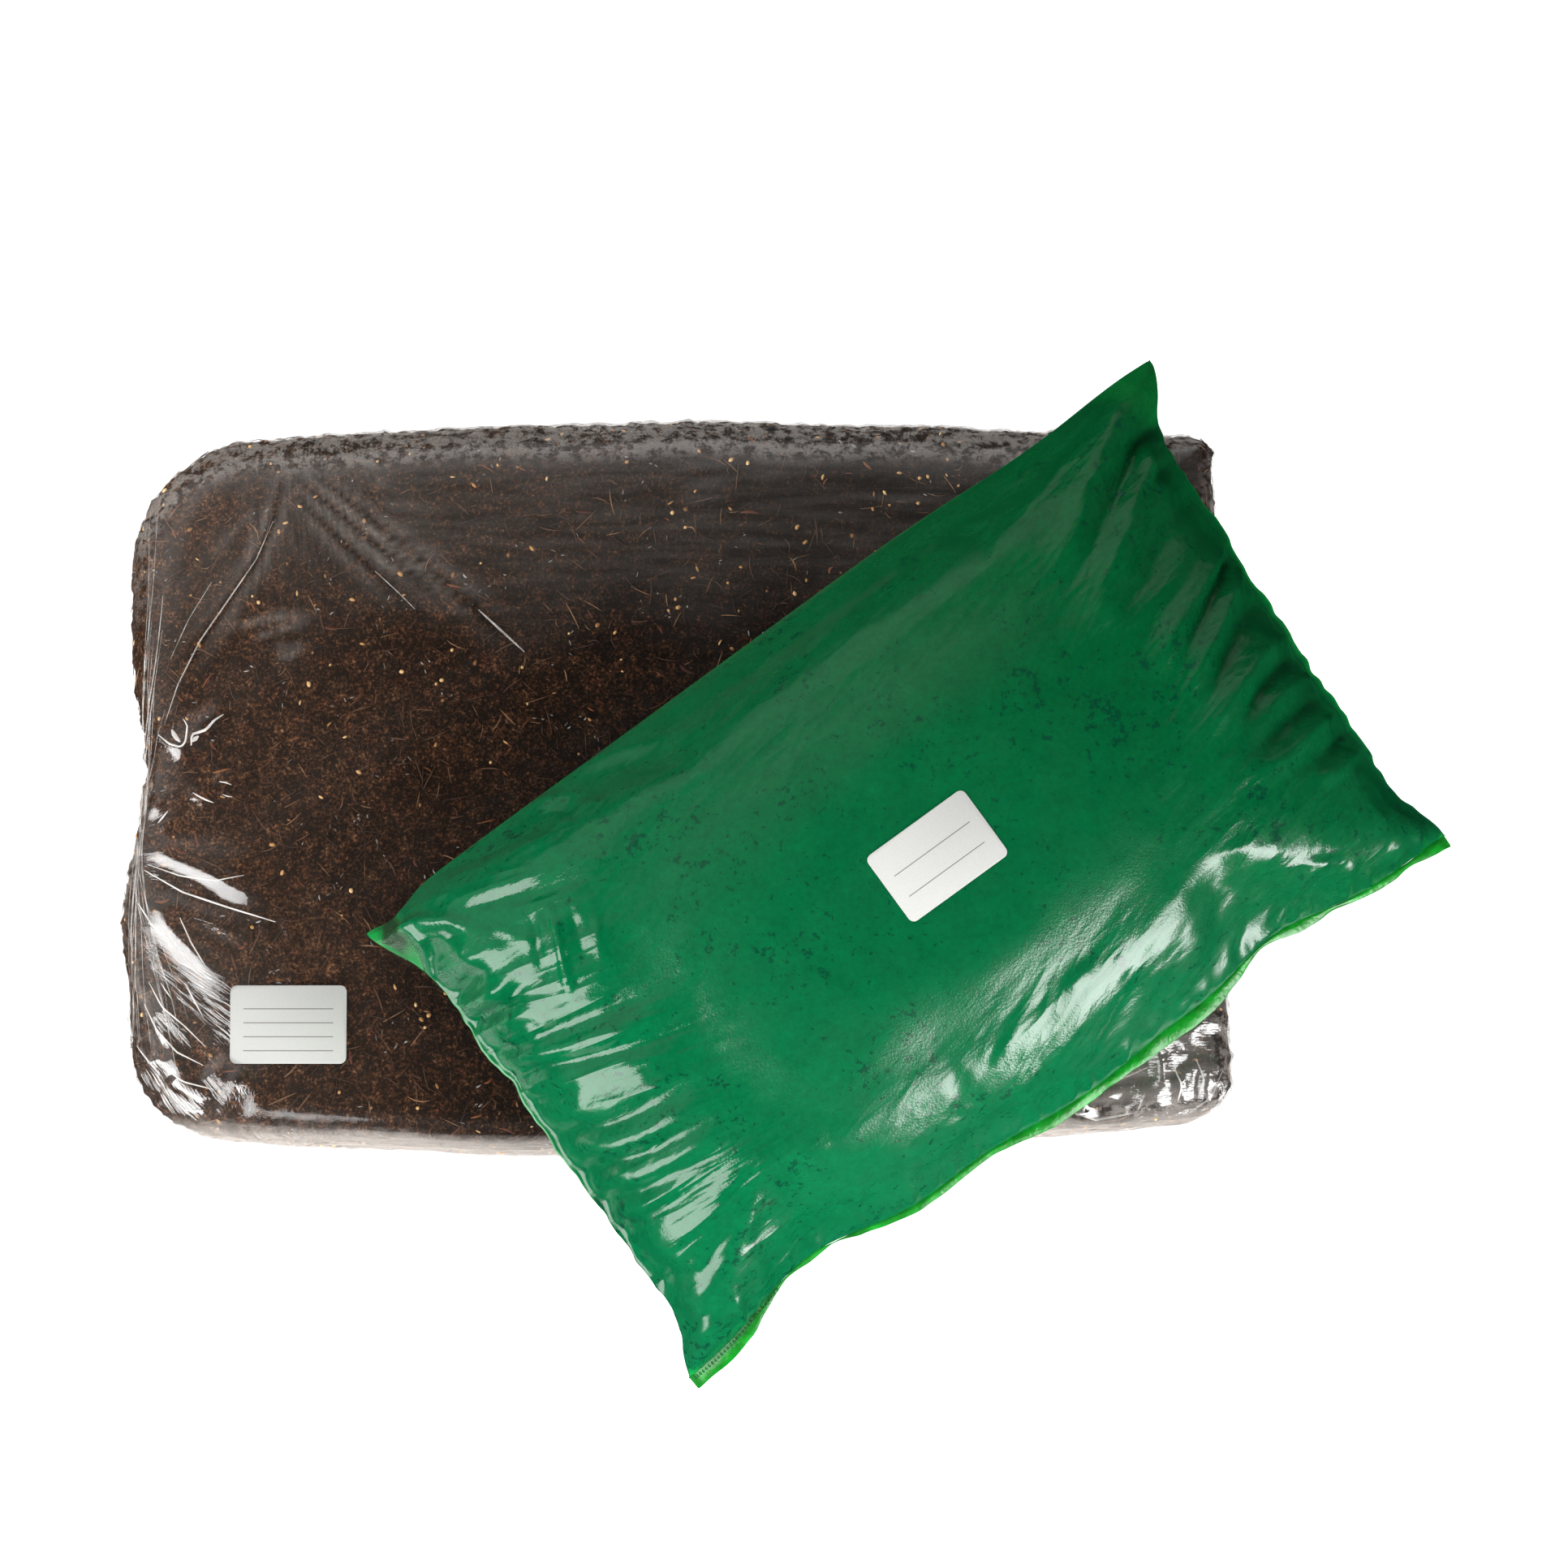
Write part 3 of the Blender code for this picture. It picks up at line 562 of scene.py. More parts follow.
def grown(name, holder, wanted, build):
    """The plain mesh that a Geometry Nodes tree makes of an object, with (kind, value) for each named input."""
    group = bpy.data.node_groups.new(name, "GeometryNodeTree")
    face = group.interface
    face.new_socket("Geometry", in_out="INPUT", socket_type="NodeSocketGeometry")
    keys = {}
    for label, (kind, _) in wanted.items():
        keys[label] = face.new_socket(label, in_out="INPUT", socket_type="NodeSocket" + kind).identifier
    face.new_socket("Pieces", in_out="OUTPUT", socket_type="NodeSocketGeometry")
    given = add_node(group, "NodeGroupInput", out=None)
    real = add_node(group, "GeometryNodeRealizeInstances", (build(group, given),))
    dressed = add_node(group, "GeometryNodeSetMaterial", {"Geometry": real, "Material": given["Material"]})
    add_node(group, "NodeGroupOutput", (dressed,))
    modifier = holder.modifiers.new(name, "NODES")
    modifier.node_group = group
    for label, (_, value) in wanted.items():
        modifier[keys[label]] = value
    return finished(holder)


def half_sizes(x, y):
    """(left or right, near or far) half sizes of the block at this place."""
    left = BLOCK_LEFT - DENT_DEPTH * bell(y - DENT_Y, DENT_WIDTH) + BULGE_DEPTH * bell(y - BULGE_Y, BULGE_WIDTH)
    along = np.where(x < 0, left, BLOCK_RIGHT - RIGHT_LEAN * y / BLOCK_FAR)
    far = BLOCK_FAR - np.where(x < 0, FAR_BOW_LEFT, FAR_BOW_RIGHT) * (x / BOW_REACH) ** 2
    near = BLOCK_NEAR - NEAR_BOW * ((x - NEAR_BOW_SHIFT) / BOW_REACH) ** 2
    return along, np.where(y > 0, far, near)


def edge_rounding(u, v, w):
    """(plan width, drop) of the rounding at the foot or at the top."""
    end = np.maximum(np.abs(u), 1e-9) ** END_POWER
    side = 0.5 + 0.5 * v
    width = (1 - end) * smooth(side, *TOP_ROUND_SIDES) + end * np.where(u < 0, *TOP_ROUND_ENDS)
    drop = (1 - end) * smooth(side, *TOP_DROP_SIDES) + end * np.where(u < 0, *TOP_DROP_ENDS)
    return np.where(w < 0, ROUND_FOOT, width), np.where(w < 0, ROUND_FOOT, drop)


def plan_place(u, v, shrink):
    """Place in plan, direction outward there, and distance inside the shrunk outline."""
    half = np.stack(half_sizes(u * BLOCK_RIGHT, v * BLOCK_FAR), -1) - shrink[:, None]
    end = 0.5 + 0.5 * u
    near = smooth(end, *CORNER_ROUND_NEAR)
    far = smooth(end, *CORNER_ROUND_FAR)
    radius = np.maximum(smooth(0.5 + 0.5 * v, near, far) - shrink, LEAST_ROUND)[:, None]
    place = np.stack([u, v], -1) * half
    core = np.clip(place, radius - half, half - radius)
    lean = (place - core) / radius
    length = np.linalg.norm(lean, axis=1, keepdims=True)
    wide = np.abs(u) > np.abs(v)
    straight = np.stack([np.where(wide, np.sign(u), 0.0), np.where(wide, 0.0, np.sign(v))], -1)
    outward = np.where(length > 1e-9, lean / np.maximum(length, 1e-9), straight)
    place = core + outward * radius * np.abs(lean).max(axis=1, keepdims=True)
    beyond = np.abs(place) - (half - radius)
    inside = radius[:, 0] - np.linalg.norm(np.maximum(beyond, 0.0), axis=1)
    inside = inside - np.minimum(beyond.max(axis=1), 0.0)
    return place, outward, np.maximum(0.0, inside)


def block_points(u, v, w):
    """The film's outer surface at these places of a cube from -1 to 1, before its folds."""
    width, drop = edge_rounding(u, v, w)
    cap = np.abs(w) >= 1.0
    turned = np.radians(45) * np.maximum(0.0, (np.abs(w) - WALL_SHARE) / (1.0 - WALL_SHARE))
    shrink = np.where(cap, HALF_TURN_SHARE * width, width * (1.0 - np.cos(turned)))
    place, outward, inside = plan_place(u, v, shrink)
    within = np.clip((inside + HALF_TURN_SHARE * width) / width, 0.0, 1.0)
    fall = drop * (1.0 - np.sqrt(np.maximum(0.0, 1.0 - (1.0 - within) ** 2)))
    high = BLOCK_HEIGHT - edge_rounding(u, v, np.ones_like(w))[1]
    upright = 0.5 + 0.5 * np.clip(w / WALL_SHARE, -1.0, 1.0)
    wall = ROUND_FOOT + (high - ROUND_FOOT) * upright + drop * np.sin(turned) * np.sign(w)
    z = np.where(cap, np.where(w > 0, BLOCK_HEIGHT - fall, fall), wall)
    at_edge = np.maximum(np.abs(u), np.abs(v)) >= 1.0
    level = np.where(cap, np.where(at_edge, math.sqrt(0.5), 0.0), np.cos(turned))
    up = np.where(cap, np.sqrt(1.0 - level**2), np.sin(turned)) * np.sign(w)
    out = np.column_stack([outward * level[:, None], up])
    points = np.column_stack([place, z])
    # The compost has settled a little under the film, but not under the label
    waves = np.sin(points[:, 0] / SETTLE_LENGTH_X * math.tau + 0.6)
    waves *= np.sin(points[:, 1] / SETTLE_LENGTH_Y * math.tau + 1.1)
    settle = np.where(w <= -1.0, 0.0, SETTLE * (0.5 + 0.5 * waves))
    away = np.hypot(points[:, 0] - BLOCK_LABEL_AT[0], points[:, 1] - BLOCK_LABEL_AT[1])
    points[:, :2] -= settle[:, None] * out[:, :2]
    points[:, 2] -= settle * np.maximum(0.0, out[:, 2]) * smooth((away - 46.0) / 62.0)
    # The wall is drawn in where the film is gathered
    reach = np.hypot(points[:, 1] - GATHER_AT[0], points[:, 2] - GATHER_AT[1])
    points[:, 0] -= np.where(out[:, 0] < -0.3, GATHER_DEPTH * bell(reach, GATHER_REACH) * out[:, 0], 0.0)
    return points


def lines(*spans):
    """Places from -1 to 1 in spans of (end, count)."""
    places = [-1.0]
    for end, count in spans:
        places += list(np.linspace(places[-1], end, count + 1)[1:])
    return np.array(places)


def block_shell(along, across, upright):
    """Points and outward faces of the whole block on this grid, with a single flat face underneath."""
    points, faces, index = [], [], {}
    last_i, last_j, last_k = len(along) - 1, len(across) - 1, len(upright) - 1

    def add_face(*corners):
        for corner in corners:
            if corner not in index:
                index[corner] = len(points)
                points.append((along[corner[0]], across[corner[1]], upright[corner[2]]))
        faces.append(tuple(index[corner] for corner in corners))

    for i in range(last_i):
        for j in range(last_j):
            add_face((i, j, last_k), (i + 1, j, last_k), (i + 1, j + 1, last_k), (i, j + 1, last_k))
    for k in range(last_k):
        for i in range(last_i):
            add_face((i, 0, k), (i + 1, 0, k), (i + 1, 0, k + 1), (i, 0, k + 1))
            add_face((i, last_j, k), (i, last_j, k + 1), (i + 1, last_j, k + 1), (i + 1, last_j, k))
        for j in range(last_j):
            add_face((0, j, k), (0, j, k + 1), (0, j + 1, k + 1), (0, j + 1, k))
            add_face((last_i, j, k), (last_i, j + 1, k), (last_i, j + 1, k + 1), (last_i, j, k + 1))
    ring = [(i, 0) for i in range(last_i)] + [(last_i, j) for j in range(last_j)]
    ring += [(i, last_j) for i in range(last_i, 0, -1)] + [(0, j) for j in range(last_j, 0, -1)]
    outer = [index[(i, j, 0)] for i, j in ring]
    cube = np.array(points)
    shares = np.array([1.0 - UNDER_INSET / BLOCK_LEFT, 1.0 - UNDER_INSET / BLOCK_NEAR, 1.0])
    inner = list(range(len(points), len(points) + len(outer)))
    cube = np.concatenate([cube, cube[outer] * shares])
    for n in range(len(outer)):
        after = (n + 1) % len(outer)
        faces.append((outer[after], outer[n], inner[n], inner[after]))
    faces.append(tuple(reversed(inner)))
    return block_points(*cube.T), faces


def compost_hollow(points, normals, depths):
    """How deep the compost lies under the film's smooth shape, for depths on the top and on the walls."""
    wall = 1.0 - smooth(np.abs(normals[:, 2]) / 0.8)
    # Lumps of about 5, 9, 20 and 45 mm
    lumps = 0.3 * noise(points, 4.6, 24) + 0.45 * noise(points, 9.0, 21)
    lumps += 0.35 * noise(points, 20.0, 22) + 0.3 * noise(points, 45.0, 23)
    depth = depths[0] + (depths[1] - depths[0]) * wall
    return depth * np.clip(0.5 - 0.62 * lumps, 0.0, 1.2) * smooth(points[:, 2] / 6.0)


def wall_folds(points, normals):
    """How far the folds of the film on the walls stand out; the compost has been pressed into them."""
    x, y, z = points.T
    top = smooth((normals[:, 2] - 0.15) / 0.5)
    # Pleats run out from the gather over the left end and on to the top
    left = smooth((-x - 205.0) / 60.0)
    over = np.maximum(0.0, x + BLOCK_LEFT - 34.0)
    rise = z - GATHER_AT[1] + over
    side = y - GATHER_AT[0]
    turn = np.arctan2(side, rise)
    reach = np.hypot(side, rise)
    wander = 0.16 * noise(np.column_stack([y, z, x]), 60.0, 3)
    pleats = np.zeros(len(points))
    for count, seed, share in ((13, 1, 0.9), (23, 2, 0.6), (41, 5, 0.3)):
        angle = turn + wander
        ring = np.column_stack([np.cos(angle) * count / 2.0, np.sin(angle) * count / 2.0, reach / 160.0])
        pleats += share * noise(ring, 1.0, seed)
    strength = 1.5 * smooth(reach / 14.0) * smooth((reach - 60.0) / 110.0, 1.0, 0.0)
    relief = left * strength * np.maximum(-0.25, pleats) * (1.0 - 0.55 * top)
    # Upright and slanting draws on the other walls
    wall = 1.0 - smooth(np.abs(normals[:, 2]) / 0.8)
    around = points / np.array([11.0, 11.0, 90.0])
    slant = np.column_stack([(x + z) / 16.0, (y + z) / 16.0, (z - x) / 120.0])
    draws = 0.8 * noise(around, 1.0, 7) + 0.6 * noise(slant, 1.0, 8)
    near = smooth((-normals[:, 1] - 0.4) / 0.3) * smooth((x + 260.0) / 40.0)
    relief += wall * (1.0 - left) * (0.9 - 0.6 * near) * np.maximum(-0.2, draws)
    # Crumbs that stand out under the film make its outline ragged
    ragged = 1.9 * np.maximum(-0.3, noise(points, 5.2, 18)) + 1.2 * noise(points, 3.4, 19)
    return relief + smooth((0.75 - normals[:, 2]) / 0.5) * (1.0 - 0.75 * near) * ragged


def film_relief(points, normals):
    """How far the clear film stands out from its smooth wrap, from its folds and gathers."""
    x, y, z = points.T
    top = smooth((normals[:, 2] - 0.15) / 0.5)
    plan = points[:, :2]
    relief = top * fold_field(plan, FILM_FOLDS + FAR_RIPPLES + CORNER_SWIRLS)
    relief += wall_folds(points, normals)
    # Crumpled film at the near right corner
    corner = smooth((x - 188.0) / 30.0) * smooth((-y - 92.0) / 30.0)
    bend = 7.0 * noise(points, 24.0, 15)
    ridges = 1.0 - 2.2 * np.abs(noise(points * np.array([1.0, 1.4, 1.0]) + bend[:, None], 11.0, 16))
    relief += corner * (0.35 + 0.65 * top) * 1.7 * ridges
    # A soft crumple of the far edge, where the film is slack
    far = smooth((y - 120.0) / 60.0) * top
    relief += far * 0.35 * noise(points * np.array([0.5, 1.6, 1.0]), 11.0, 9)
    # On the walls and the rounding it follows the compost's lumps
    edge = 1.0 - smooth((normals[:, 2] - 0.55) / 0.4)
    relief -= 0.85 * edge * compost_hollow(points, normals, COMPOST_RELIEF)
    away = np.hypot(x - BLOCK_LABEL_AT[0], y - BLOCK_LABEL_AT[1])
    return relief * smooth((away - 26.0) / 14.0) * smooth((z - 1.0) / 10.0)


def clear_film_material():
    """Polyethylene stretch film, wrapped cold: almost invisible face on, with hard glints on its folds."""
    made, tree, place = new_material("stretch_film_polyethylene")
    names = ("gathered", "cloud", "milk")
    gathered, cloud, milk = (add_node(tree, "Attribute", out="Fac", attribute_name=name) for name in names)
    draw = add_node(tree, "Attribute", out="Vector", attribute_name="draw")
    # Draw lines of the stretched film run along its pull, 1 to 3 mm apart
    fine = add_node(tree, "TexNoise", {"Vector": draw, "Scale": 1.0, "Detail": 3.0, "Roughness": 0.6})
    soft = add_node(tree, "TexNoise", {"Vector": place, "Scale": METRE / 9.0})
    height = add_node(tree, "Math", (soft, 0.7), operation="MULTIPLY")
    height = add_node(tree, "Math", (fine, 0.6, height), operation="MULTIPLY_ADD")
    # Fine folds where the film is gathered
    for size, share in ((0.5, -5.5), (0.23, -2.4)):
        height = ridged(tree, height, draw, 1.0 / size, gathered, share)
    bump = add_node(tree, "Bump", {"Strength": 0.4, "Distance": 0.0009, "Height": height})
    sharp, broad = (
        add_node(tree, "BsdfGlossy", {"Color": WHITE, "Roughness": rough, "Normal": bump}) for rough in (0.1, 0.32)
    )
    gloss = add_node(tree, "MixShader", (0.12, sharp, broad))
    clear = add_node(tree, "BsdfTransparent", ((0.985, 0.985, 0.985, 1.0),))
    # Several plies lie over one another where it is gathered, and each of them reflects
    plies = add_node(tree, "Math", (gathered, 0.07, 0.055), operation="MULTIPLY_ADD")
    more = add_node(tree, "Math", (gathered, 1.3, 1.0), operation="MULTIPLY_ADD")
    share = add_node(tree, "Math", (add_node(tree, "Fresnel", (1.5,)), more), operation="MULTIPLY")
    share = add_node(tree, "Math", (share, plies), operation="MINIMUM")
    # Dust and damp behind the film make it cloudy in places; the same milky layer also carries the painted
    # reflections that the cloud attribute sets
    dust = add_node(tree, "TexNoise", {"Vector": place, "Scale": METRE / 7.0, "Detail": 6.0, "Roughness": 0.82})
    faint = add_node(tree, "Math", (fine, 0.2), operation="MULTIPLY")
    touched = add_node(tree, "Math", (dust, 0.8, faint), operation="MULTIPLY_ADD")
    clumped = add_node(tree, "MapRange", (touched, 0.47, 0.53, 0.15, 1.7))
    # On the flat top it is even, and on the near wall it lies in level streaks
    streaks = add_node(tree, "MapRange", (fine, 0.35, 0.6, 1.2, 0.6))
    apart = add_node(tree, "Math", (streaks, clumped), operation="SUBTRACT")
    haze_and_painted_reflection = add_node(tree, "Math", (apart, milk, clumped), operation="MULTIPLY_ADD")
    haze_and_painted_reflection = add_node(tree, "Math", (haze_and_painted_reflection, cloud), operation="MULTIPLY")
    # The milky matt layer is partly the film's own haze and partly a painted reflection of the bright table and
    # wall
    milky = add_node(tree, "BsdfDiffuse", {"Color": linear("#cdc5be")})
    under = add_node(tree, "MixShader", (haze_and_painted_reflection, clear, milky))
    body = add_node(tree, "MixShader", (share, under, gloss))
    add_node(tree, "OutputMaterial", (body,))
    return made


def crease_material(name, faint, strong):
    """The same film where it is nipped into a crease: a thin pale line that catches the light. Its pale matt
    colour is the film whitened by stretching, and where drawn strong, on the hard creases, a painted highlight.
    """
    made, tree, place = new_material(name)
    clear = add_node(tree, "BsdfTransparent", (WHITE,))
    pale = add_node(tree, "BsdfDiffuse", {"Color": linear("#e4dfda")})
    gloss = add_node(tree, "BsdfGlossy", {"Color": WHITE, "Roughness": 0.2})
    uneven = add_node(tree, "TexNoise", {"Vector": place, "Scale": METRE / 9.0, "Detail": 3.0})
    uneven = add_node(tree, "MapRange", (uneven, 0.35, 0.65, faint, strong))
    under = add_node(tree, "MixShader", (uneven, clear, pale))
    body = add_node(tree, "MixShader", (0.03, under, gloss))
    add_node(tree, "OutputMaterial", (body,))
    return made


def compost_material():
    """Pasteurised straw and manure compost, pressed: near black and matt, mottled with damp brown fibre."""
    made, tree, place = new_material("pressed_mushroom_compost")
    # Crumbs of about 1 mm in clumps of 6 mm and patches of 40 mm
    crumbs, clumps, patches, rusty = (
        add_node(tree, "TexNoise", {"Vector": place, "Scale": METRE / size, "Detail": detail, "Roughness": rough})
        for size, detail, rough in ((1.5, 4.0, 0.8), (6.0, 4.0, 0.7), (38.0, 4.0, 0.6), (12.0, 5.0, 0.75))
    )
    lumps = add_node(tree, "TexVoronoi", {"Vector": place, "Scale": 420.0, "Randomness": 1.0})
    # Fibres under 1 mm wide, drawn out to 8 mm
    bent = add_node(tree, "TexNoise", {"Vector": place, "Scale": 90.0, "Detail": 1.0}, "Color")
    warped = add_node(tree, "VectorMath", (bent, (0.02, 0.02, 0.02), place), operation="MULTIPLY_ADD")
    most = 0.0
    for turn, seed in ((0.5, 1.0), (1.6, 2.0), (2.6, 3.0)):
        values = {"Vector": warped, "Location": (seed, seed, 0.0), "Rotation": (0.3, 0.2, turn)}
        laid = add_node(tree, "Mapping", values | {"Scale": (1500.0, 170.0, 700.0)})
        fibre = add_node(tree, "TexNoise", {"Vector": laid, "Scale": 1.0, "Detail": 1.0})
        most = add_node(tree, "Math", (most, fibre), operation="MAXIMUM")
    mixed = add_node(tree, "Math", (patches, 0.3), operation="MULTIPLY")
    for part, share in ((crumbs, 1.5), (clumps, 1.05), (most, 0.75), (lumps, -0.3)):
        mixed = add_node(tree, "Math", (part, share, mixed), operation="MULTIPLY_ADD")
    share = add_node(tree, "MapRange", (mixed, 1.56, 2.36))
    # The compost is lighter towards the left end and darker towards the middle and the right; the darkening stands
    # partly for the bag's shadow, a painted shade
    pale = add_node(tree, "MapRange", (add_node(tree, "SeparateXYZ", (place,)), -0.29, 0.08, 0.27, -0.1))
    share = add_node(tree, "Math", (share, pale), operation="ADD")
    browns = ((0.0, "#0f0804"), (0.3, "#2b1b0f"), (0.55, "#4b3120"), (0.8, "#725037"), (1.0, "#aa8059"))
    colour = add_node(tree, "ValToRGB", (share,), stops=browns)
    # Rotted fibre is redder in places
    red = add_node(tree, "ValToRGB", (share,), stops=((0.0, "#100603"), (0.5, "#4a2413"), (1.0, "#a5603a")))
    rusty = add_node(tree, "MapRange", (rusty, 0.52, 0.68, 0.0, 0.36))
    colour = add_node(tree, "Mix", {0: rusty, 6: colour, 7: red}, 2, data_type="RGBA")
    bump = add_node(tree, "Bump", {"Strength": 1.0, "Distance": 0.0014, "Height": mixed})
    values = {"Base Color": colour, "Roughness": 0.85, "IOR": 1.45, "Specular IOR Level": 0.12, "Normal": bump}
    add_node(tree, "OutputMaterial", (add_node(tree, "BsdfPrincipled", values),))
    return made


def strand_material(name, stops, roughness):
    """Cut straw, bark or mycelium: each strand has one tone, so that neighbours differ as real ones do."""
    made, tree, place = new_material(name)
    tone = add_node(tree, "Attribute", out="Fac", attribute_name="tone")
    grain = add_node(tree, "TexNoise", {"Vector": place, "Scale": 900.0})
    share = add_node(tree, "Math", (grain, 0.3, tone), operation="MULTIPLY_ADD")
    share = add_node(tree, "Math", (share, 0.15), operation="SUBTRACT")
    colour = add_node(tree, "ValToRGB", (share,), stops=stops)
    bump = add_node(tree, "Bump", {"Strength": 0.4, "Distance": 0.0003, "Height": grain})
    values = {"Base Color": colour, "Roughness": roughness, "IOR": 1.45, "Normal": bump}
    add_node(tree, "OutputMaterial", (add_node(tree, "BsdfPrincipled", values),))
    return made


def scatter(name, carrier, shapes, spread, seed, material):
    """Lays copies of small shapes flat on a surface at random, and returns them as one plain mesh."""
    density, lengths, widths, depth, patchiness = spread
    store = bpy.data.collections.new(name + "_shapes")
    bpy.context.scene.collection.children.link(store)
    for shape in shapes:
        store.objects.link(bpy.data.objects.new(shape.name, shape))

    def build(tree, given):
        here = add_node(tree, "GeometryNodeInputPosition")
        cloud = add_node(tree, "TexNoise", {"Vector": here, "Scale": 34.0, "Detail": 3.0})
        values = {0: cloud, 1: given["Patchiness"]}
        kept = add_node(tree, "FunctionNodeCompare", values, data_type="FLOAT", operation="GREATER_THAN")
        values = {"Mesh": given["Geometry"], "Selection": kept, "Density": given["Density"], "Seed": given["Seed"]}
        points = add_node(tree, "GeometryNodeDistributePointsOnFaces", values, None)
        drawn = []
        ranges = ((0.0, math.tau), (-0.05, 0.05), (given["Shortest"], given["Longest"]))
        ranges += ((given["Narrowest"], given["Widest"]), (given["Depth"], 0.0), (0.0, 1.0))
        for draw_seed, (low, high) in enumerate(ranges, 11):
            values = {2: low, 3: high, "Seed": draw_seed}
            drawn.append(add_node(tree, "FunctionNodeRandomValue", values, 1, data_type="FLOAT"))
        spin, tilt, long, wide, sunk, tone = drawn
        angles = add_node(tree, "CombineXYZ", (tilt, 0.0, spin))
        turned = add_node(tree, "FunctionNodeEulerToRotation", (angles,))
        values = {0: points["Rotation"], 1: turned}
        laid = add_node(tree, "FunctionNodeRotateRotation", values, rotation_space="LOCAL")
        values = {"Collection": given["Shapes"], "Separate Children": True, "Reset Children": True}
        values = {"Points": points["Points"], "Instance": add_node(tree, "GeometryNodeCollectionInfo", values)}
        values |= {"Pick Instance": True, "Rotation": laid}
        values["Scale"] = add_node(tree, "CombineXYZ", (long, wide, wide))
        values = {"Instances": add_node(tree, "GeometryNodeInstanceOnPoints", values), "Local Space": True}
        values["Translation"] = add_node(tree, "CombineXYZ", (0.0, 0.0, sunk))
        lowered = add_node(tree, "GeometryNodeTranslateInstances", values)
        values = {"Geometry": lowered, "Name": "tone", "Value": tone}
        return add_node(tree, "GeometryNodeStoreNamedAttribute", values, data_type="FLOAT", domain="INSTANCE")

    labels = ("Density", "Shortest", "Longest", "Narrowest", "Widest", "Depth", "Patchiness")
    amounts = (density, *lengths, *widths, depth, patchiness)
    wanted = {label: ("Float", value) for label, value in zip(labels, amounts)}
    wanted |= {"Seed": ("Int", seed), "Shapes": ("Collection", store), "Material": ("Material", material)}
    mesh = grown(name + "_scatter", placed(name + "_holder", carrier), wanted, build)
    for shape in list(store.objects):
        bpy.data.objects.remove(shape)
    bpy.data.collections.remove(store)
    return mesh


def strand_shapes(name, length, width, thickness, bends):
    """Thin three-sided strands, each with its own bend, lying along X."""
    made = []
    for number, bend in enumerate(bends):
        points, faces = [], []
        stations = (-0.5, -0.17, 0.17, 0.5)
        for station, share in enumerate(stations):
            taper = 0.45 if station in (0, 3) else 1.0
            x = share * length
            y = bend * (share * share * 4.0 - 0.5) * length * 0.2
            for corner_y, corner_z in ((-0.5, -0.3), (0.5, -0.3), (0.0, 0.7)):
                points.append((x, y + corner_y * width * taper, corner_z * thickness * taper))
        for station in range(3):
            a = 3 * station
            for n in range(3):
                m = (n + 1) % 3
                faces.append((a + n, a + 3 + n, a + 3 + m, a + m))
        faces += [(0, 1, 2), (11, 10, 9)]
        mesh = mesh_of(f"{name}_{number}", points, faces)
        tool = bmesh.new()
        tool.from_mesh(mesh)
        bmesh.ops.recalc_face_normals(tool, faces=tool.faces[:])
        tool.to_mesh(mesh)
        tool.free()
        made.append(mesh)
    return made


def lump_shapes(name, radius, flatness, count, seed):
    """Small closed lumps of a few dozen faces, each a little different."""
    made = []
    for number in range(count):
        tool = bmesh.new()
        bmesh.ops.create_icosphere(tool, subdivisions=1, radius=radius * MM)
        mesh = bpy.data.meshes.new(f"{name}_{number}")
        tool.to_mesh(mesh)
        tool.free()
        points = points_of(mesh)
        swell = 1.0 + 0.28 * noise(points + 31.0 * number, radius * 0.9, seed + number)
        points *= swell[:, None] * np.array([1.25, 0.95, flatness])
        move_points(mesh, points)
        made.append(mesh)
    return made


def amount(name, description, default, unit="LENGTH"):
    """A setting that is a number of zero or more, in metres or without a unit."""
    return bpy.props.FloatProperty(name=name, description=description, default=default, min=0.0, unit=unit)


def tint(name, description, colour):
    """A setting that is a colour, with its default as an sRGB hex value."""
    most = {"size": 3, "min": 0.0, "max": 1.0, "subtype": "COLOR"}
    return bpy.props.FloatVectorProperty(name=name, description=description, default=linear(colour)[:3], **most)


class CompostSettings(bpy.types.PropertyGroup):
    """Sizes of the compost block's surface."""

    relief: amount("Relief", "Depth of the lumps under the film", COMPOST_RELIEF[0] * MM)
    wall_relief: amount("Wall relief", "Depth of the lumps on the walls", COMPOST_RELIEF[1] * MM)
    film_gap: amount("Film gap", "From the film's outside to the compost", 0.0011)
    straw_density: amount("Straw", "Straw fibres per square metre", 11000.0, "NONE")
    shred_density: amount("Shreds", "Bark shreds per square metre", 1000.0, "NONE")
    grain_density: amount("Grains", "Spawn grains per square metre", 1500.0, "NONE")
    fleck_density: amount("Mycelium", "Mycelium flecks per square metre", 14000.0, "NONE")


class FilmSettings(bpy.types.PropertyGroup):
    """Sizes of the clear film."""

    wall: amount("Wall", "Thickness of the film with its overlaps", 0.00025)
    fold_scale: amount("Folds", "Scale of the film's folds", 1.0, "NONE")


class BagSettings(bpy.types.PropertyGroup):
    """Sizes and colours of the bag of casing peat."""

    flat_length: amount("Flat length", "Length of the empty bag between its seams", 0.585)
    flat_width: amount("Flat width", "Width of the empty bag between its seams", 0.365)
    most_move: amount("Most move", "How far the film may move as it settles", 0.010)
    colour: tint("Film colour", "Colour of the film over the peat", "#004520")
    bright: tint("Edge colour", "Colour of the film where nothing is behind it", "#10a63e")


class LabelSettings(bpy.types.PropertyGroup):
    """Sizes of the two paper labels."""

    length: amount("Length", "Length of a label", 0.0624)
    width: amount("Width", "Width of a label", 0.042)
    corner: amount("Corner", "Radius of a label's corners", 0.0035)


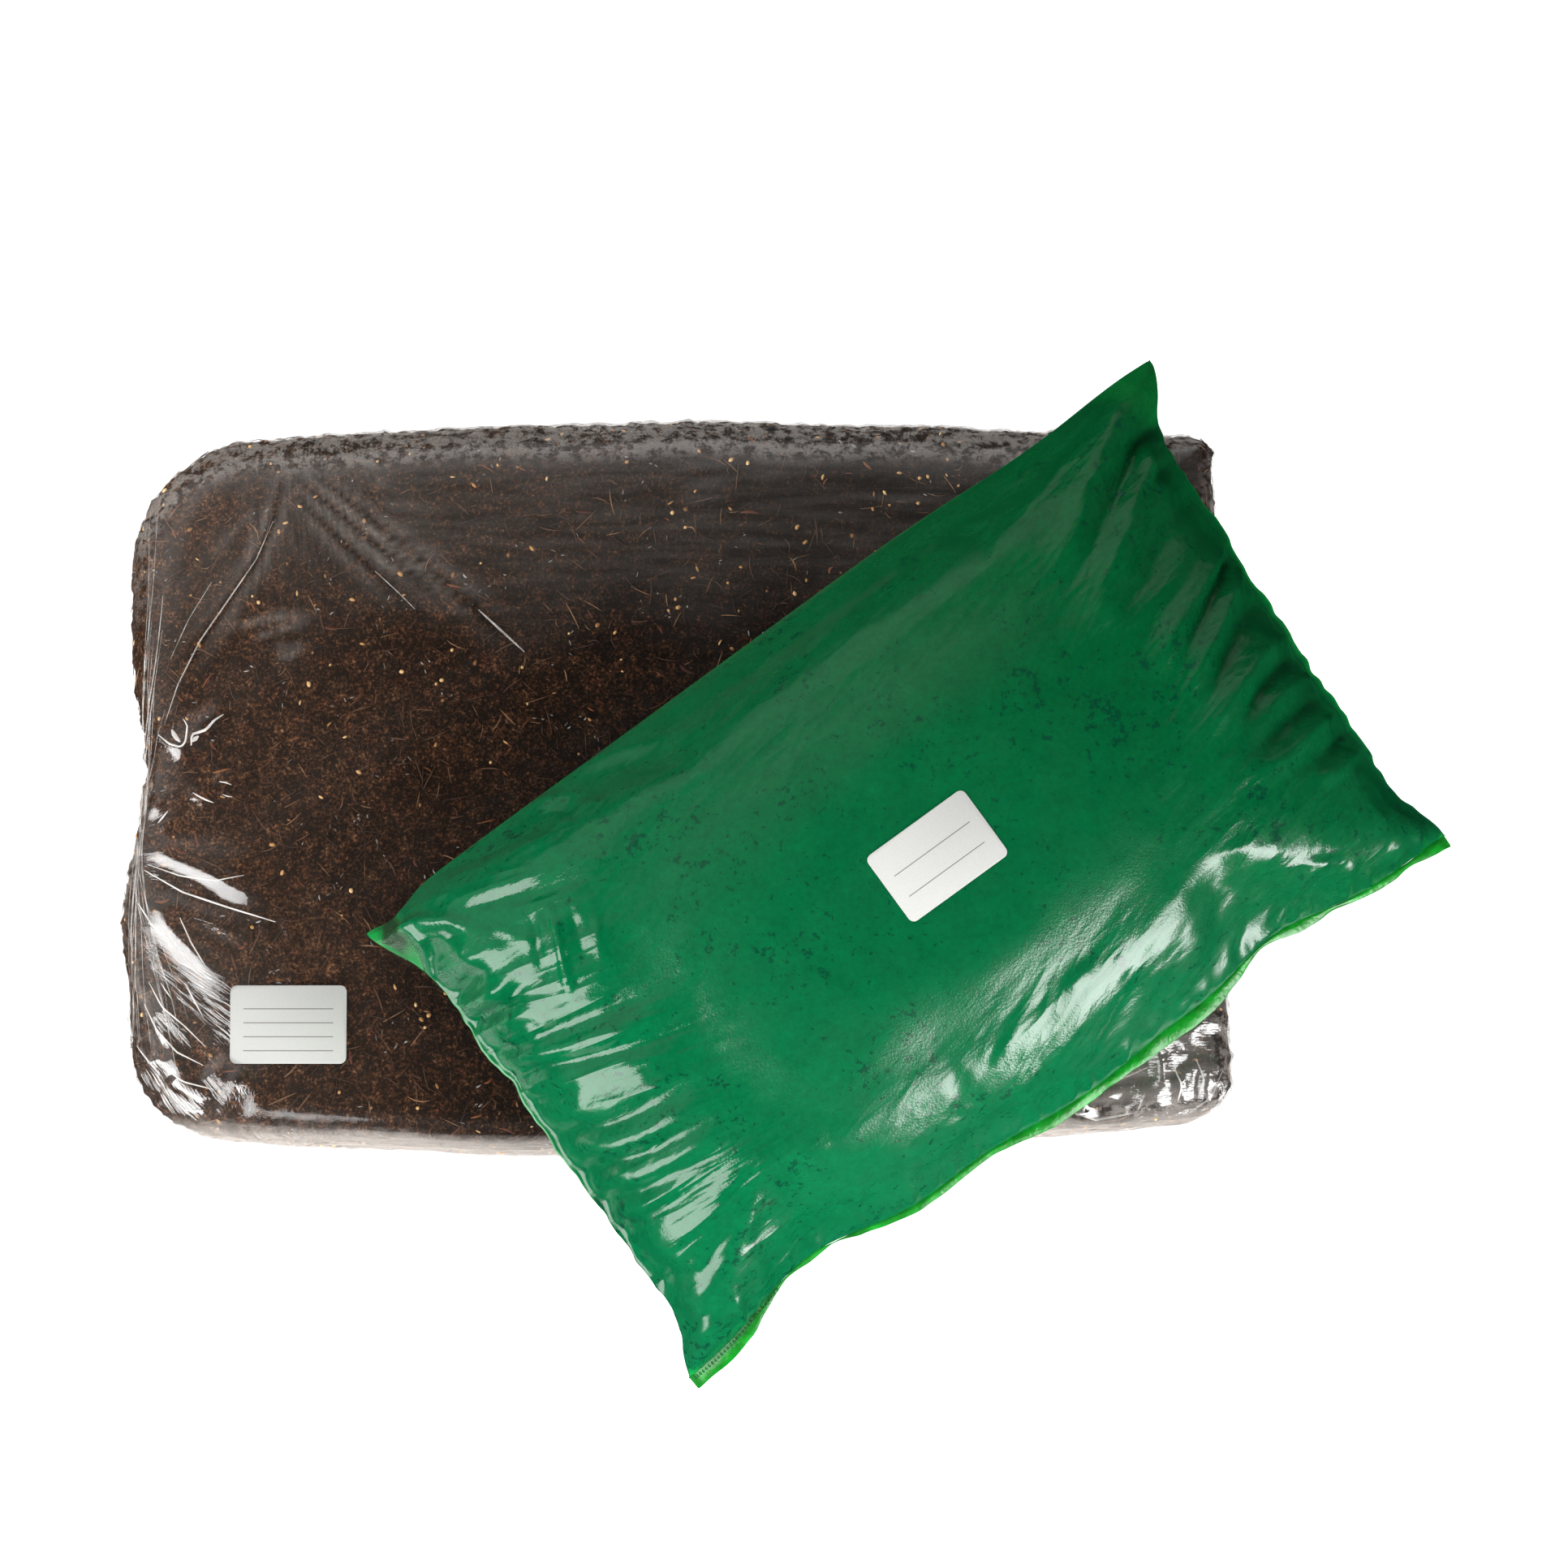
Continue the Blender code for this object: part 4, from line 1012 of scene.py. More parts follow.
class StageSettings(bpy.types.PropertyGroup):
    """The floor, the lights and the camera."""

    floor_size: amount("Floor", "Side of the floor", 14.0)
    key_left: amount("Left box", "Brightness of the left softbox's face", 7.5, "NONE")
    key_right: amount("Right box", "Brightness of the right softbox's face", 14.5, "NONE")
    fill_far: amount("Far fill", "Brightness of the fill light beyond the object", 7.5, "NONE")
    floor_glow: amount("Floor glow", "Light that the lit table gives by itself", 0.48, "NONE")
    sky_low: amount("Low sky", "Brightness of the room at the horizon", 0.06, "NONE")
    sky_far: amount("Far wall", "Brightness of the wall beyond the object", 0.42, "NONE")
    lens: amount("Lens", "Focal length in millimetres", 128.0, "NONE")


class GROWSET_OT_compost(bpy.types.Operator):
    """Build the pressed compost with its straw, shreds, spawn grains and mycelium"""

    bl_idname = "growset.compost"
    bl_label = "Compost"

    def execute(self, context):
        settings = context.scene.growset_compost
        points, faces = block_shell(
            lines((1.0, 214)), lines((1.0, 144)), lines((-WALL_SHARE, 5), (WALL_SHARE, 42), (1.0, 7))
        )
        mesh = mesh_of("compost", points, faces)
        normals = normals_of(mesh)
        hollow = compost_hollow(points, normals, (settings.relief / MM, settings.wall_relief / MM))
        gap = settings.film_gap / MM
        # The fibres stand on the compost's form before its crumbs, but for its foot
        carrier = mesh_of("carrier", points - normals * (gap + 0.5), faces)
        tool = bmesh.new()
        tool.from_mesh(carrier)
        under = [one for one in tool.faces if one.normal.z < -0.5 or one.calc_center_median().z < 9.0 * MM]
        bmesh.ops.delete(tool, geom=under, context="FACES")
        tool.to_mesh(carrier)
        tool.free()
        pressed = 0.95 * np.maximum(0.0, wall_folds(points, normals))
        move_points(mesh, points - normals * (gap + hollow - pressed)[:, None])
        show(mesh, "compost", compost_material(), "compost", ("substrate_block",))
        straw = ((0.0, "#1d110a"), (0.45, "#40281a"), (0.85, "#6a472f"), (1.0, "#9a7450"))
        bark = ((0.0, "#35190d"), (0.5, "#5c2f18"), (1.0, "#8c5128"))
        grain = ((0.0, "#6a4526"), (0.5, "#b8854e"), (1.0, "#f0c489"))
        thread = ((0.0, "#5d5753"), (0.6, "#86807c"), (1.0, "#b9b4af"))
        # Each kind has its material, its shapes, and its number, lengths, widths, depth and patchiness
        looks = {
            "straw_fibres": ("cut_straw", straw, 0.7),
            "bark_shreds": ("bark_shreds", bark, 0.75),
            "spawn_grains": ("spawn_grain", grain, 0.6),
            "mycelium_flecks": ("mycelium", thread, 0.9),
        }
        shapes = (
            strand_shapes("straw", 13.0, 0.55, 0.45, (0.0, 0.12, -0.2, 0.4)),
            strand_shapes("shred", 9.0, 1.7, 0.5, (0.1, 0.5, -0.4)),
            lump_shapes("grain", 1.0, 0.6, 5, 40),
            strand_shapes("fleck", 2.0, 0.7, 0.35, (0.1, -0.4, 0.5)),
        )
        spreads = (
            (settings.straw_density, (0.22, 1.25), (0.6, 1.5), -1.1 * MM, 0.0),
            (settings.shred_density, (0.4, 1.2), (0.5, 1.2), -0.8 * MM, 0.42),
            (settings.grain_density, (0.5, 1.7), (0.5, 1.4), -0.1 * MM, 0.0),
            (settings.fleck_density, (0.4, 1.6), (0.5, 1.5), -0.5 * MM, 0.56),
        )
        for seed, (name, look, shape, spread) in enumerate(zip(looks, looks.values(), shapes, spreads), 50):
            made = scatter(name, carrier.copy(), shape, spread, seed, strand_material(*look))
            show(made, name, None, "compost")
        return {"FINISHED"}


class GROWSET_OT_film(bpy.types.Operator):
    """Wrap the block in clear film with its folds, gathers and creases"""

    bl_idname = "growset.film"
    bl_label = "Clear film"

    def execute(self, context):
        settings = context.scene.growset_film
        along = lines((-0.55, 62), (0.6, 66), (1.0, 44))
        across = lines((-0.3, 52), (1.0, 78))
        upright = lines((-WALL_SHARE, 4), (WALL_SHARE, 29), (1.0, 6))
        points, faces = block_shell(along, across, upright)
        mesh = mesh_of("film", points, faces)
        normals = normals_of(mesh)
        relief = settings.fold_scale * film_relief(points, normals)
        move_points(mesh, points + normals * relief[:, None])
        set_vector(mesh, "draw", self.pull_lines(points, normals))
        set_attribute(mesh, "cloud", self.cloudiness(points, normals))
        even = np.maximum(smooth((-normals[:, 1] - 0.5) / 0.3), smooth((normals[:, 2] - 0.9) / 0.08))
        set_attribute(mesh, "milk", even)
        set_attribute(mesh, "gathered", self.gathers(points, normals))
        material = clear_film_material()
        surface = placed("film_surface", mesh)
        tree = BVHTree.FromObject(surface, bpy.context.evaluated_depsgraph_get())
        creases = self.ridges(tree, self.crease_paths(), crease_material("stretch_film_crease", 0.08, 0.34))
        # The hard creases are drawn strongly pale: a painted highlight of their glint
        glints = self.ridges(tree, FILM_GLINTS, crease_material("stretch_film_hard_crease", 0.4, 0.9))
        wall = surface.modifiers.new("wall", "SOLIDIFY")
        wall.thickness = settings.wall
        wall.offset = -1.0
        body = finished(surface)
        film = show(body, "clear_film", material, "clear_film", ("block_film",))
        crease = show(creases, "film_creases", None, "clear_film")
        glint = show(glints, "film_hard_creases", None, "clear_film")
        return {"FINISHED"}

    def pull_lines(self, points, normals):
        """Coordinates that change quickly across the film's pull and slowly along it."""
        x, y, z = points.T
        out = np.column_stack([x - DRAWN_TO[0], y - DRAWN_TO[1], z - DRAWN_TO[2]])
        around = np.arctan2(out[:, 1], out[:, 0] + 0.6 * out[:, 2]) * 17.0
        fan = np.column_stack([around, np.linalg.norm(out, axis=1) / 90.0, np.full(len(points), 3.7)])
        belt = np.column_stack([x / 70.0, y / 40.0, z / 7.0])
        top = np.column_stack([x / 42.0, y / 5.0, z / 9.0])
        left = smooth((-x - 150.0) / 90.0)[:, None]
        flat = smooth(np.abs(normals[:, 2]) / 0.7)[:, None]
        return left * fan + (1.0 - left) * (flat * top + (1.0 - flat) * belt)

    def cloudiness(self, points, normals):
        """How milky the film is: by the far edge, towards the gather, and on the near wall most of all. On the
        near wall, at the far edge and at the near right corner much of it is painted reflection.
        """
        x, y, _ = points.T
        top = smooth((normals[:, 2] - 0.2) / 0.5)
        wander = 22.0 * noise(points, 46.0, 41)
        # By the far edge it is partly damp haze and partly a painted reflection of the bright wall beyond
        far = 0.021 * top * smooth((y + wander - 70.0) / 70.0)
        left = 0.005 * top * smooth((-x + wander - 90.0) / 130.0)
        rounding = smooth((normals[:, 1] - 0.35 * normals[:, 0] - 0.22) / 0.3)
        far += 0.065 * rounding * smooth((normals[:, 2] - 0.05) / 0.2)
        # The first four folds are long draws of the film, each with a pale band and a clear line in it
        draws = [(fold[0], half, rise) for half, rise in ((6.5, 0.06), (2.5, -0.09)) for fold in FILM_FOLDS[:4]]
        far += np.maximum(-0.02, top * fold_field(points[:, :2], draws + HAZE_STREAKS))
        # At the near right corner it is a painted sheen of the crumpled film, with some haze
        corner = smooth(np.hypot(x - 262.0, y + 160.0) / 85.0, 1.0, 0.0)
        far += 0.13 * corner
        # On the near wall it is a painted reflection of the bright table, seen at a grazing angle
        near = 0.32 * smooth((-normals[:, 1] - 0.55) / 0.35) * smooth((x + 286.0) / 50.0, 0.1, 1.0)
        near *= smooth((x - 190.0) / 60.0, 1.0, 0.3)
        gather = 0.03 * smooth(np.hypot(x + 285.0, y + 110.0) / 90.0, 1.0, 0.0)
        # The walls that the photograph doesn't show have a thin haze
        walls = 0.1 * smooth((np.maximum(normals[:, 0], normals[:, 1]) - 0.78) / 0.2)
        return np.maximum(0.0, far + left + near + gather + walls)

    def gathers(self, points, normals):
        """How strongly the film is drawn into fine folds, most of all at the near left corner."""
        x, y, _ = points.T
        reach = np.hypot(x + 264.0, y + 138.0)
        corner = smooth((reach - 26.0) / 30.0, 1.0, 0.0)
        left = smooth((-x - 225.0) / 40.0) * smooth((60.0 - y) / 60.0)
        right = 0.8 * smooth((np.hypot(x - 272.0, y + 150.0) - 12.0) / 34.0, 1.0, 0.0)
        return np.maximum(np.maximum(corner, right), 0.3 * left) * smooth((normals[:, 2] + 0.1) / 0.3)

    def crease_paths(self):
        """The soft creases, and a bundle that hugs the left edge and is nipped at the gather."""
        rng = np.random.default_rng(5)
        paths = list(FILM_CREASES)
        for _ in range(12):
            start = (-294.0 + rng.uniform(0.0, 14.0) + rng.uniform(0.0, 8.0), rng.uniform(20.0, 185.0))
            nip = (-290.0 + rng.uniform(-3.0, 4.0), GATHER_AT[0] + 5.0 + rng.uniform(-7.0, 7.0))
            spread = rng.uniform(0.0, 1.0)
            end = (-298.0 + 40.0 * spread**2, -95.0 - rng.uniform(10.0, 70.0))
            half = ((start[0] + nip[0]) / 2.0 + rng.uniform(-3.0, 2.0), (start[1] + nip[1]) / 2.0)
            onward = ((end[0] + nip[0]) / 2.0 - rng.uniform(0.0, 3.0), (end[1] + nip[1]) / 2.0)
            line = self.resampled(np.array([start, half, nip, onward, end]), 4.0)
            line[:, 0] += 0.8 * np.sin(line[:, 1] / 17.0 + 9.0 * spread)
            paths.append((line, rng.uniform(0.14, 0.34)))
        return paths

    def ridges(self, tree, paths, material):
        """Sharp creases as slim ridges along lines on the film, made with Geometry Nodes."""
        runs = []
        for line, radius in paths:
            runs.append(([], radius))
            for x, y in self.resampled(np.array(line, float), 2.0):
                place = self.on_top(tree, x, y)
                if place is None:
                    runs.append(([], radius))
                else:
                    runs[-1][0].append(place)
        runs = [run for run in runs if len(run[0]) > 2]
        holder = path_holder("crease", [places for places, _ in runs])
        for spline, (places, radius) in zip(holder.data.splines, runs):
            for n, point in enumerate(spline.points):
                point.radius = radius * math.sin(math.pi * (0.06 + 0.88 * n / (len(places) - 1))) ** 0.6

        def build(group, given):
            values = {"Resolution": 10, "Radius": given["Radius"]}
            ring = add_node(group, "GeometryNodeCurvePrimitiveCircle", values)
            # Ridges are low: half as high as they are wide, and half sunk into the film
            ring = add_node(group, "GeometryNodeTransform", {"Geometry": ring, "Scale": (1.0, 0.45, 1.0)})
            values = {"Curve": given["Geometry"], "Profile Curve": ring, "Fill Caps": True}
            values["Scale"] = add_node(group, "GeometryNodeInputRadius")
            return add_node(group, "GeometryNodeCurveToMesh", values)

        wanted = {"Radius": ("Float", MM), "Material": ("Material", material)}
        return grown("film_crease", holder, wanted, build)

    def resampled(self, line, spacing):
        """Points along a line, about this far apart."""
        steps = np.concatenate([[0.0], np.cumsum(np.linalg.norm(np.diff(line, axis=0), axis=1))])
        wanted = np.linspace(0.0, steps[-1], max(3, int(steps[-1] / spacing)))
        return np.column_stack([np.interp(wanted, steps, line[:, 0]), np.interp(wanted, steps, line[:, 1])])

    def on_top(self, tree, x, y):
        """The film's surface under this place, or nothing where it is too steep for a crease to lie on."""
        place, normal, _, _ = tree.ray_cast(Vector((x * MM, y * MM, 0.4)), Vector((0.0, 0.0, -1.0)))
        return place if place is not None and normal.z > STEEPEST_FOR_CREASES else None


def bag_plan(s, t):
    """Place of the bag's sheet in its own axes, between its corners, drawn in along its edges."""
    right, far = (s + 1) / 2, (t + 1) / 2
    corners = np.array(BAG_CORNERS)
    along = (
        (corners[0, 0] * (1 - right) + corners[1, 0] * right) * (1 - far)
        + (corners[2, 0] * (1 - right) + corners[3, 0] * right) * far
    )
    across = (
        (corners[0, 1] * (1 - right) + corners[1, 1] * right) * (1 - far)
        + (corners[2, 1] * (1 - right) + corners[3, 1] * right) * far
    )
    pull = smooth((1 - np.abs(t)) * BAG_CORNERS[2][1] / EAR_LENGTH)
    right_pull = smooth(far, RIGHT_PULL_NEAR, RIGHT_PULL_FAR)
    middle = along.copy()
    along = along + pull * (LEFT_PULL * (1 - right) - right_pull * right)
    for place, depth, width in NEAR_HOLLOWS:
        across = across + (1 - far) * depth * bell(middle - place, width)
    for place, depth, width in FAR_HOLLOWS:
        across = across - far * depth * bell(middle - place, width)
    return along, across


def to_block(along, across):
    """From the bag's own axes to the block's."""
    x = BAG_AT[0] + along * math.cos(BAG_TURN) - across * math.sin(BAG_TURN)
    y = BAG_AT[1] + along * math.sin(BAG_TURN) + across * math.cos(BAG_TURN)
    return x, y


def to_bag(x, y):
    """From the block's axes to the bag's own."""
    x, y = x - BAG_AT[0], y - BAG_AT[1]
    return x * math.cos(BAG_TURN) + y * math.sin(BAG_TURN), -x * math.sin(BAG_TURN) + y * math.cos(BAG_TURN)


def profile(value, power, root=0.5):
    """1 in the middle and 0 at the edges of the range from -1 to 1."""
    return np.maximum(0.0, 1.0 - np.abs(value) ** power) ** root


def bag_layer(s, t, upper):
    """Points of the bag's upper or lower layer over these places."""
    fin = 2.0 * FIN_WIDTH / (BAG_CORNERS[2][1] - BAG_CORNERS[0][1])
    sheet_t = -1.0 + fin + (t + 1.0) * (2.0 - fin) / 2.0
    along, across = bag_plan(s, sheet_t)
    x, y = to_block(along, across)
    half_x, half_y = half_sizes(x, y)
    outside = np.hypot(np.maximum(0.0, np.abs(x) - half_x), np.maximum(0.0, np.abs(y) - half_y))
    base = BAG_REST - OVERHANG_SAG * np.maximum(0.0, outside - OVERHANG_START)
    long_edge = np.where(t < 0, NEAR_SEAM_RISE, LONG_EDGE_RISE)
    rise = CORNER_RISE + (long_edge - CORNER_RISE) * profile(s, 5.0) * np.abs(t) ** 3
    rise = rise + (SHORT_EDGE_RISE - CORNER_RISE) * profile(t, 5.0) * np.abs(s) ** 3
    if not upper:
        return np.stack([x, y, base + rise * (1 - profile(s, 9.0) * profile(t, 9.0))], -1)
    end = profile(np.minimum(1.0, np.abs(s) / END_WELD), 3.4, END_ROOT)
    full = np.minimum(end * profile(np.minimum(1.0, np.abs(t) / SIDE_WELD), 3.2, SIDE_ROOT), 0.985) / 0.985
    z = base + rise * (1 - full) + BAG_THICKNESS * full
    return np.stack([x, y, z], -1)


def seam_gathers():
    """Short slanting folds that run in from the near seam, where the weld has drawn the film together."""
    rng = np.random.default_rng(8)
    folds = []
    along = -214.0
    while along < 236.0:
        across = float(np.interp(along, *NEAR_SEAM_AT))
        lean = rng.uniform(6.0, 26.0) * (1.0 if along > -120.0 else 0.6)
        reach = rng.uniform(12.0, 24.0)
        middle = (along + 0.5 * lean, across + 0.6 * reach)
        line = ((along, across - 4.0), middle, (along + lean, across + reach))
        folds.append((line, rng.uniform(2.2, 3.6), rng.uniform(1.2, 2.4)))
        along += rng.uniform(11.0, 20.0)
    return tuple(folds)


def evened(grid):
    """The rows and columns of a sheet slid along its surface until they are evenly spaced."""
    for _ in range(5):
        for axis in (0, 1):
            turned = np.moveaxis(grid, axis, 0)
            step = np.linalg.norm(np.diff(turned, axis=0), axis=-1)
            way = np.concatenate([np.zeros((1, step.shape[1])), np.cumsum(step, 0)])
            moved = turned.copy()
            for k in range(1, turned.shape[1] - 1):
                wanted = np.linspace(0.0, way[-1, k], len(way))
                for c in range(3):
                    moved[:, k, c] = np.interp(wanted, way[:, k], turned[:, k, c])
            grid = np.moveaxis(moved, 0, axis)
    return grid


def pillow(upper, lower):
    """Points and outward faces of two sheets joined at their rim, and which points are in the lower sheet."""
    edge = np.ones(upper.shape[:2], bool)
    edge[1:-1, 1:-1] = False
    over = np.arange(edge.size).reshape(edge.shape)
    under = over.copy()
    under[~edge] = edge.size + np.arange((~edge).sum())
    points = np.concatenate([upper.reshape(-1, 3), lower[~edge]])
    faces = []
    for index, turned in ((over, False), (under, True)):
        ring = np.stack([index[:-1, :-1], index[1:, :-1], index[1:, 1:], index[:-1, 1:]], -1).reshape(-1, 4)
        faces.append(ring[:, ::-1] if turned else ring)
    below = np.arange(len(points)) >= edge.size
    return points, np.concatenate(faces), below, under


def green_film_material(settings):
    """Pigmented low-density polyethylene, blown: deep green and glossy, darker where it lies on dark peat, and
    painted lighter on its lit near left side.
    """
    made, tree, place = new_material("green_bag_polyethylene")
    names = ("lift", "empty", "pocket", "slack", "pleated")
    lift, empty, pocket, slack, pleated = (
        add_node(tree, "Attribute", out="Fac", attribute_name=name) for name in names
    )
    stream = add_node(tree, "Attribute", out="Vector", attribute_name="pleat")
    noises = ((58.0, 3.0, 0.6), (4.6, 3.0, 0.7), (10.0, 4.0, 0.75), (16.0, 5.0, 0.6), (3.2, 3.0, 0.7))
    clouds, crumbs, bigger, slow, quick, wear, grain = (
        add_node(tree, "TexNoise", {"Vector": place, "Scale": METRE / size, "Detail": detail, "Roughness": rough})
        for size, detail, rough in (*noises, (24.0, 3.0, 0.5), (1.3, 2.0, 0.5))
    )
    # Peat crumbs of 1.5 to 5 mm stick to the film in clouds of about 60 mm
    dark = 0.0
    for part, share, low, high in ((crumbs, 0.36, 0.805, 0.845), (bigger, 0.4, 0.84, 0.865)):
        stuck = add_node(tree, "Math", (clouds, share, part), operation="MULTIPLY_ADD")
        stuck = add_node(tree, "MapRange", (stuck, low, high))
        dark = add_node(tree, "Math", (dark, stuck), operation="MAXIMUM")
    dark = add_node(tree, "Math", (dark, 0.62), operation="MULTIPLY")
    # Mottle of the peat behind the film
    mottle = 1.0
    for part, most in ((slow, 0.1), (quick, 0.12)):
        change = add_node(tree, "MapRange", (part, 0.3, 0.7, -most, most))
        mottle = add_node(tree, "Math", (mottle, change), operation="ADD")
    film = (*settings.colour, 1.0)
    bright = (*settings.bright, 1.0)
    # The lift share paints light: a lighter green on the near left side that the lamps light
    covers = ((lift, linear("#025b35")), (dark, linear("#022c22")), (empty, bright), (pocket, linear("#173a20")))
    for share, colour in covers:
        film = add_node(tree, "Mix", {0: share, 6: film, 7: colour}, 2, data_type="RGBA")
    shade = add_node(tree, "HueSaturation", {"Value": mottle, "Color": film})
    # Slack film lies in small flat facets drawn out along the bag, 14 and 6 mm across, with fine grain on them
    calm = add_node(tree, "Math", (pleated, -0.62, 1.0), operation="MULTIPLY_ADD")
    slack = add_node(tree, "Math", (slack, calm), operation="MULTIPLY")
    height = add_node(tree, "Math", (grain, 0.05), operation="MULTIPLY")
    # Crisp pleats run in from the seams
    for scale, share in ((1.0, -3.2), (2.6, -1.1)):
        height = ridged(tree, height, stream, scale, pleated, share)
    for width, share in ((0.014, 0.9), (0.006, 0.4)):
        values = {"Vector": place, "Rotation": (0.0, 0.0, BAG_TURN + 0.2)}
        values |= {"Scale": (3.2 * width, width, 1.6 * width)}
        laid = add_node(tree, "Mapping", values, vector_type="TEXTURE")
        bent = add_node(tree, "TexNoise", {"Vector": laid, "Scale": 0.7, "Detail": 1.0}, "Color")
        moved = add_node(tree, "VectorMath", (bent, (1.3, 1.3, 1.3), laid), operation="MULTIPLY_ADD")
        facet = add_node(tree, "TexVoronoi", {"Vector": moved, "Scale": 1.0})
        facet = add_node(tree, "Math", (facet, slack), operation="MULTIPLY")
        height = add_node(tree, "Math", (facet, share, height), operation="MULTIPLY_ADD")
    bump = add_node(tree, "Bump", {"Strength": 1.0, "Distance": 0.0022, "Height": height})
    rough = add_node(tree, "MapRange", (wear, 0.3, 0.7, 0.2, 0.28))
    rough = add_node(tree, "Math", (pleated, -0.09, rough), operation="MULTIPLY_ADD")
    values = {"Base Color": shade, "Roughness": rough, "IOR": 1.5, "Normal": bump}
    add_node(tree, "OutputMaterial", (add_node(tree, "BsdfPrincipled", values),))
    return made


def fin_material():
    """The bag's film welded to itself, with light coming through from behind: a bright grass green."""
    made, tree, place = new_material("green_bag_weld")
    tone = add_node(tree, "TexNoise", {"Vector": place, "Scale": METRE / 9.0, "Detail": 4.0, "Roughness": 0.6})
    colour = add_node(tree, "ValToRGB", (tone,), stops=((0.3, "#025c10"), (0.5, "#047417"), (0.75, "#0b9225")))
    grain = add_node(tree, "TexNoise", {"Vector": place, "Scale": METRE / 2.4, "Detail": 3.0})
    bump = add_node(tree, "Bump", {"Strength": 0.5, "Distance": 0.0008, "Height": grain})
    values = {"Base Color": colour, "Roughness": 0.3, "IOR": 1.45, "Normal": bump}
    add_node(tree, "OutputMaterial", (add_node(tree, "BsdfPrincipled", values),))
    return made


def perforation_material():
    """The melted rims of the weld's perforations: the same film drawn thick, so darker."""
    made, tree, place = new_material("green_weld_rims")
    tone = add_node(tree, "TexNoise", {"Vector": place, "Scale": METRE / 3.0})
    colour = add_node(tree, "ValToRGB", (tone,), stops=((0.3, "#04502a"), (0.7, "#0a7a37")))
    shader = add_node(tree, "BsdfPrincipled", {"Base Color": colour, "Roughness": 0.3, "IOR": 1.5})
    add_node(tree, "OutputMaterial", (shader,))
    return made


def peat_material():
    """Milled black peat with chalk: dark, matt and crumbly."""
    made, tree, place = new_material("casing_peat")
    crumbs = add_node(tree, "TexNoise", {"Vector": place, "Scale": METRE / 3.0, "Detail": 4.0, "Roughness": 0.7})
    patches = add_node(tree, "TexNoise", {"Vector": place, "Scale": METRE / 22.0, "Detail": 3.0})
    share = add_node(tree, "Math", (crumbs, 0.6), operation="MULTIPLY")
    share = add_node(tree, "Math", (patches, 0.5, share), operation="MULTIPLY_ADD")
    colour = add_node(tree, "ValToRGB", (share,), stops=((0.3, "#0d0a08"), (0.6, "#1f1812"), (0.85, "#3a2c20")))
    bump = add_node(tree, "Bump", {"Strength": 0.9, "Distance": 0.002, "Height": crumbs})
    shader = add_node(tree, "BsdfPrincipled", {"Base Color": colour, "Roughness": 0.92, "Normal": bump})
    add_node(tree, "OutputMaterial", (shader,))
    return made


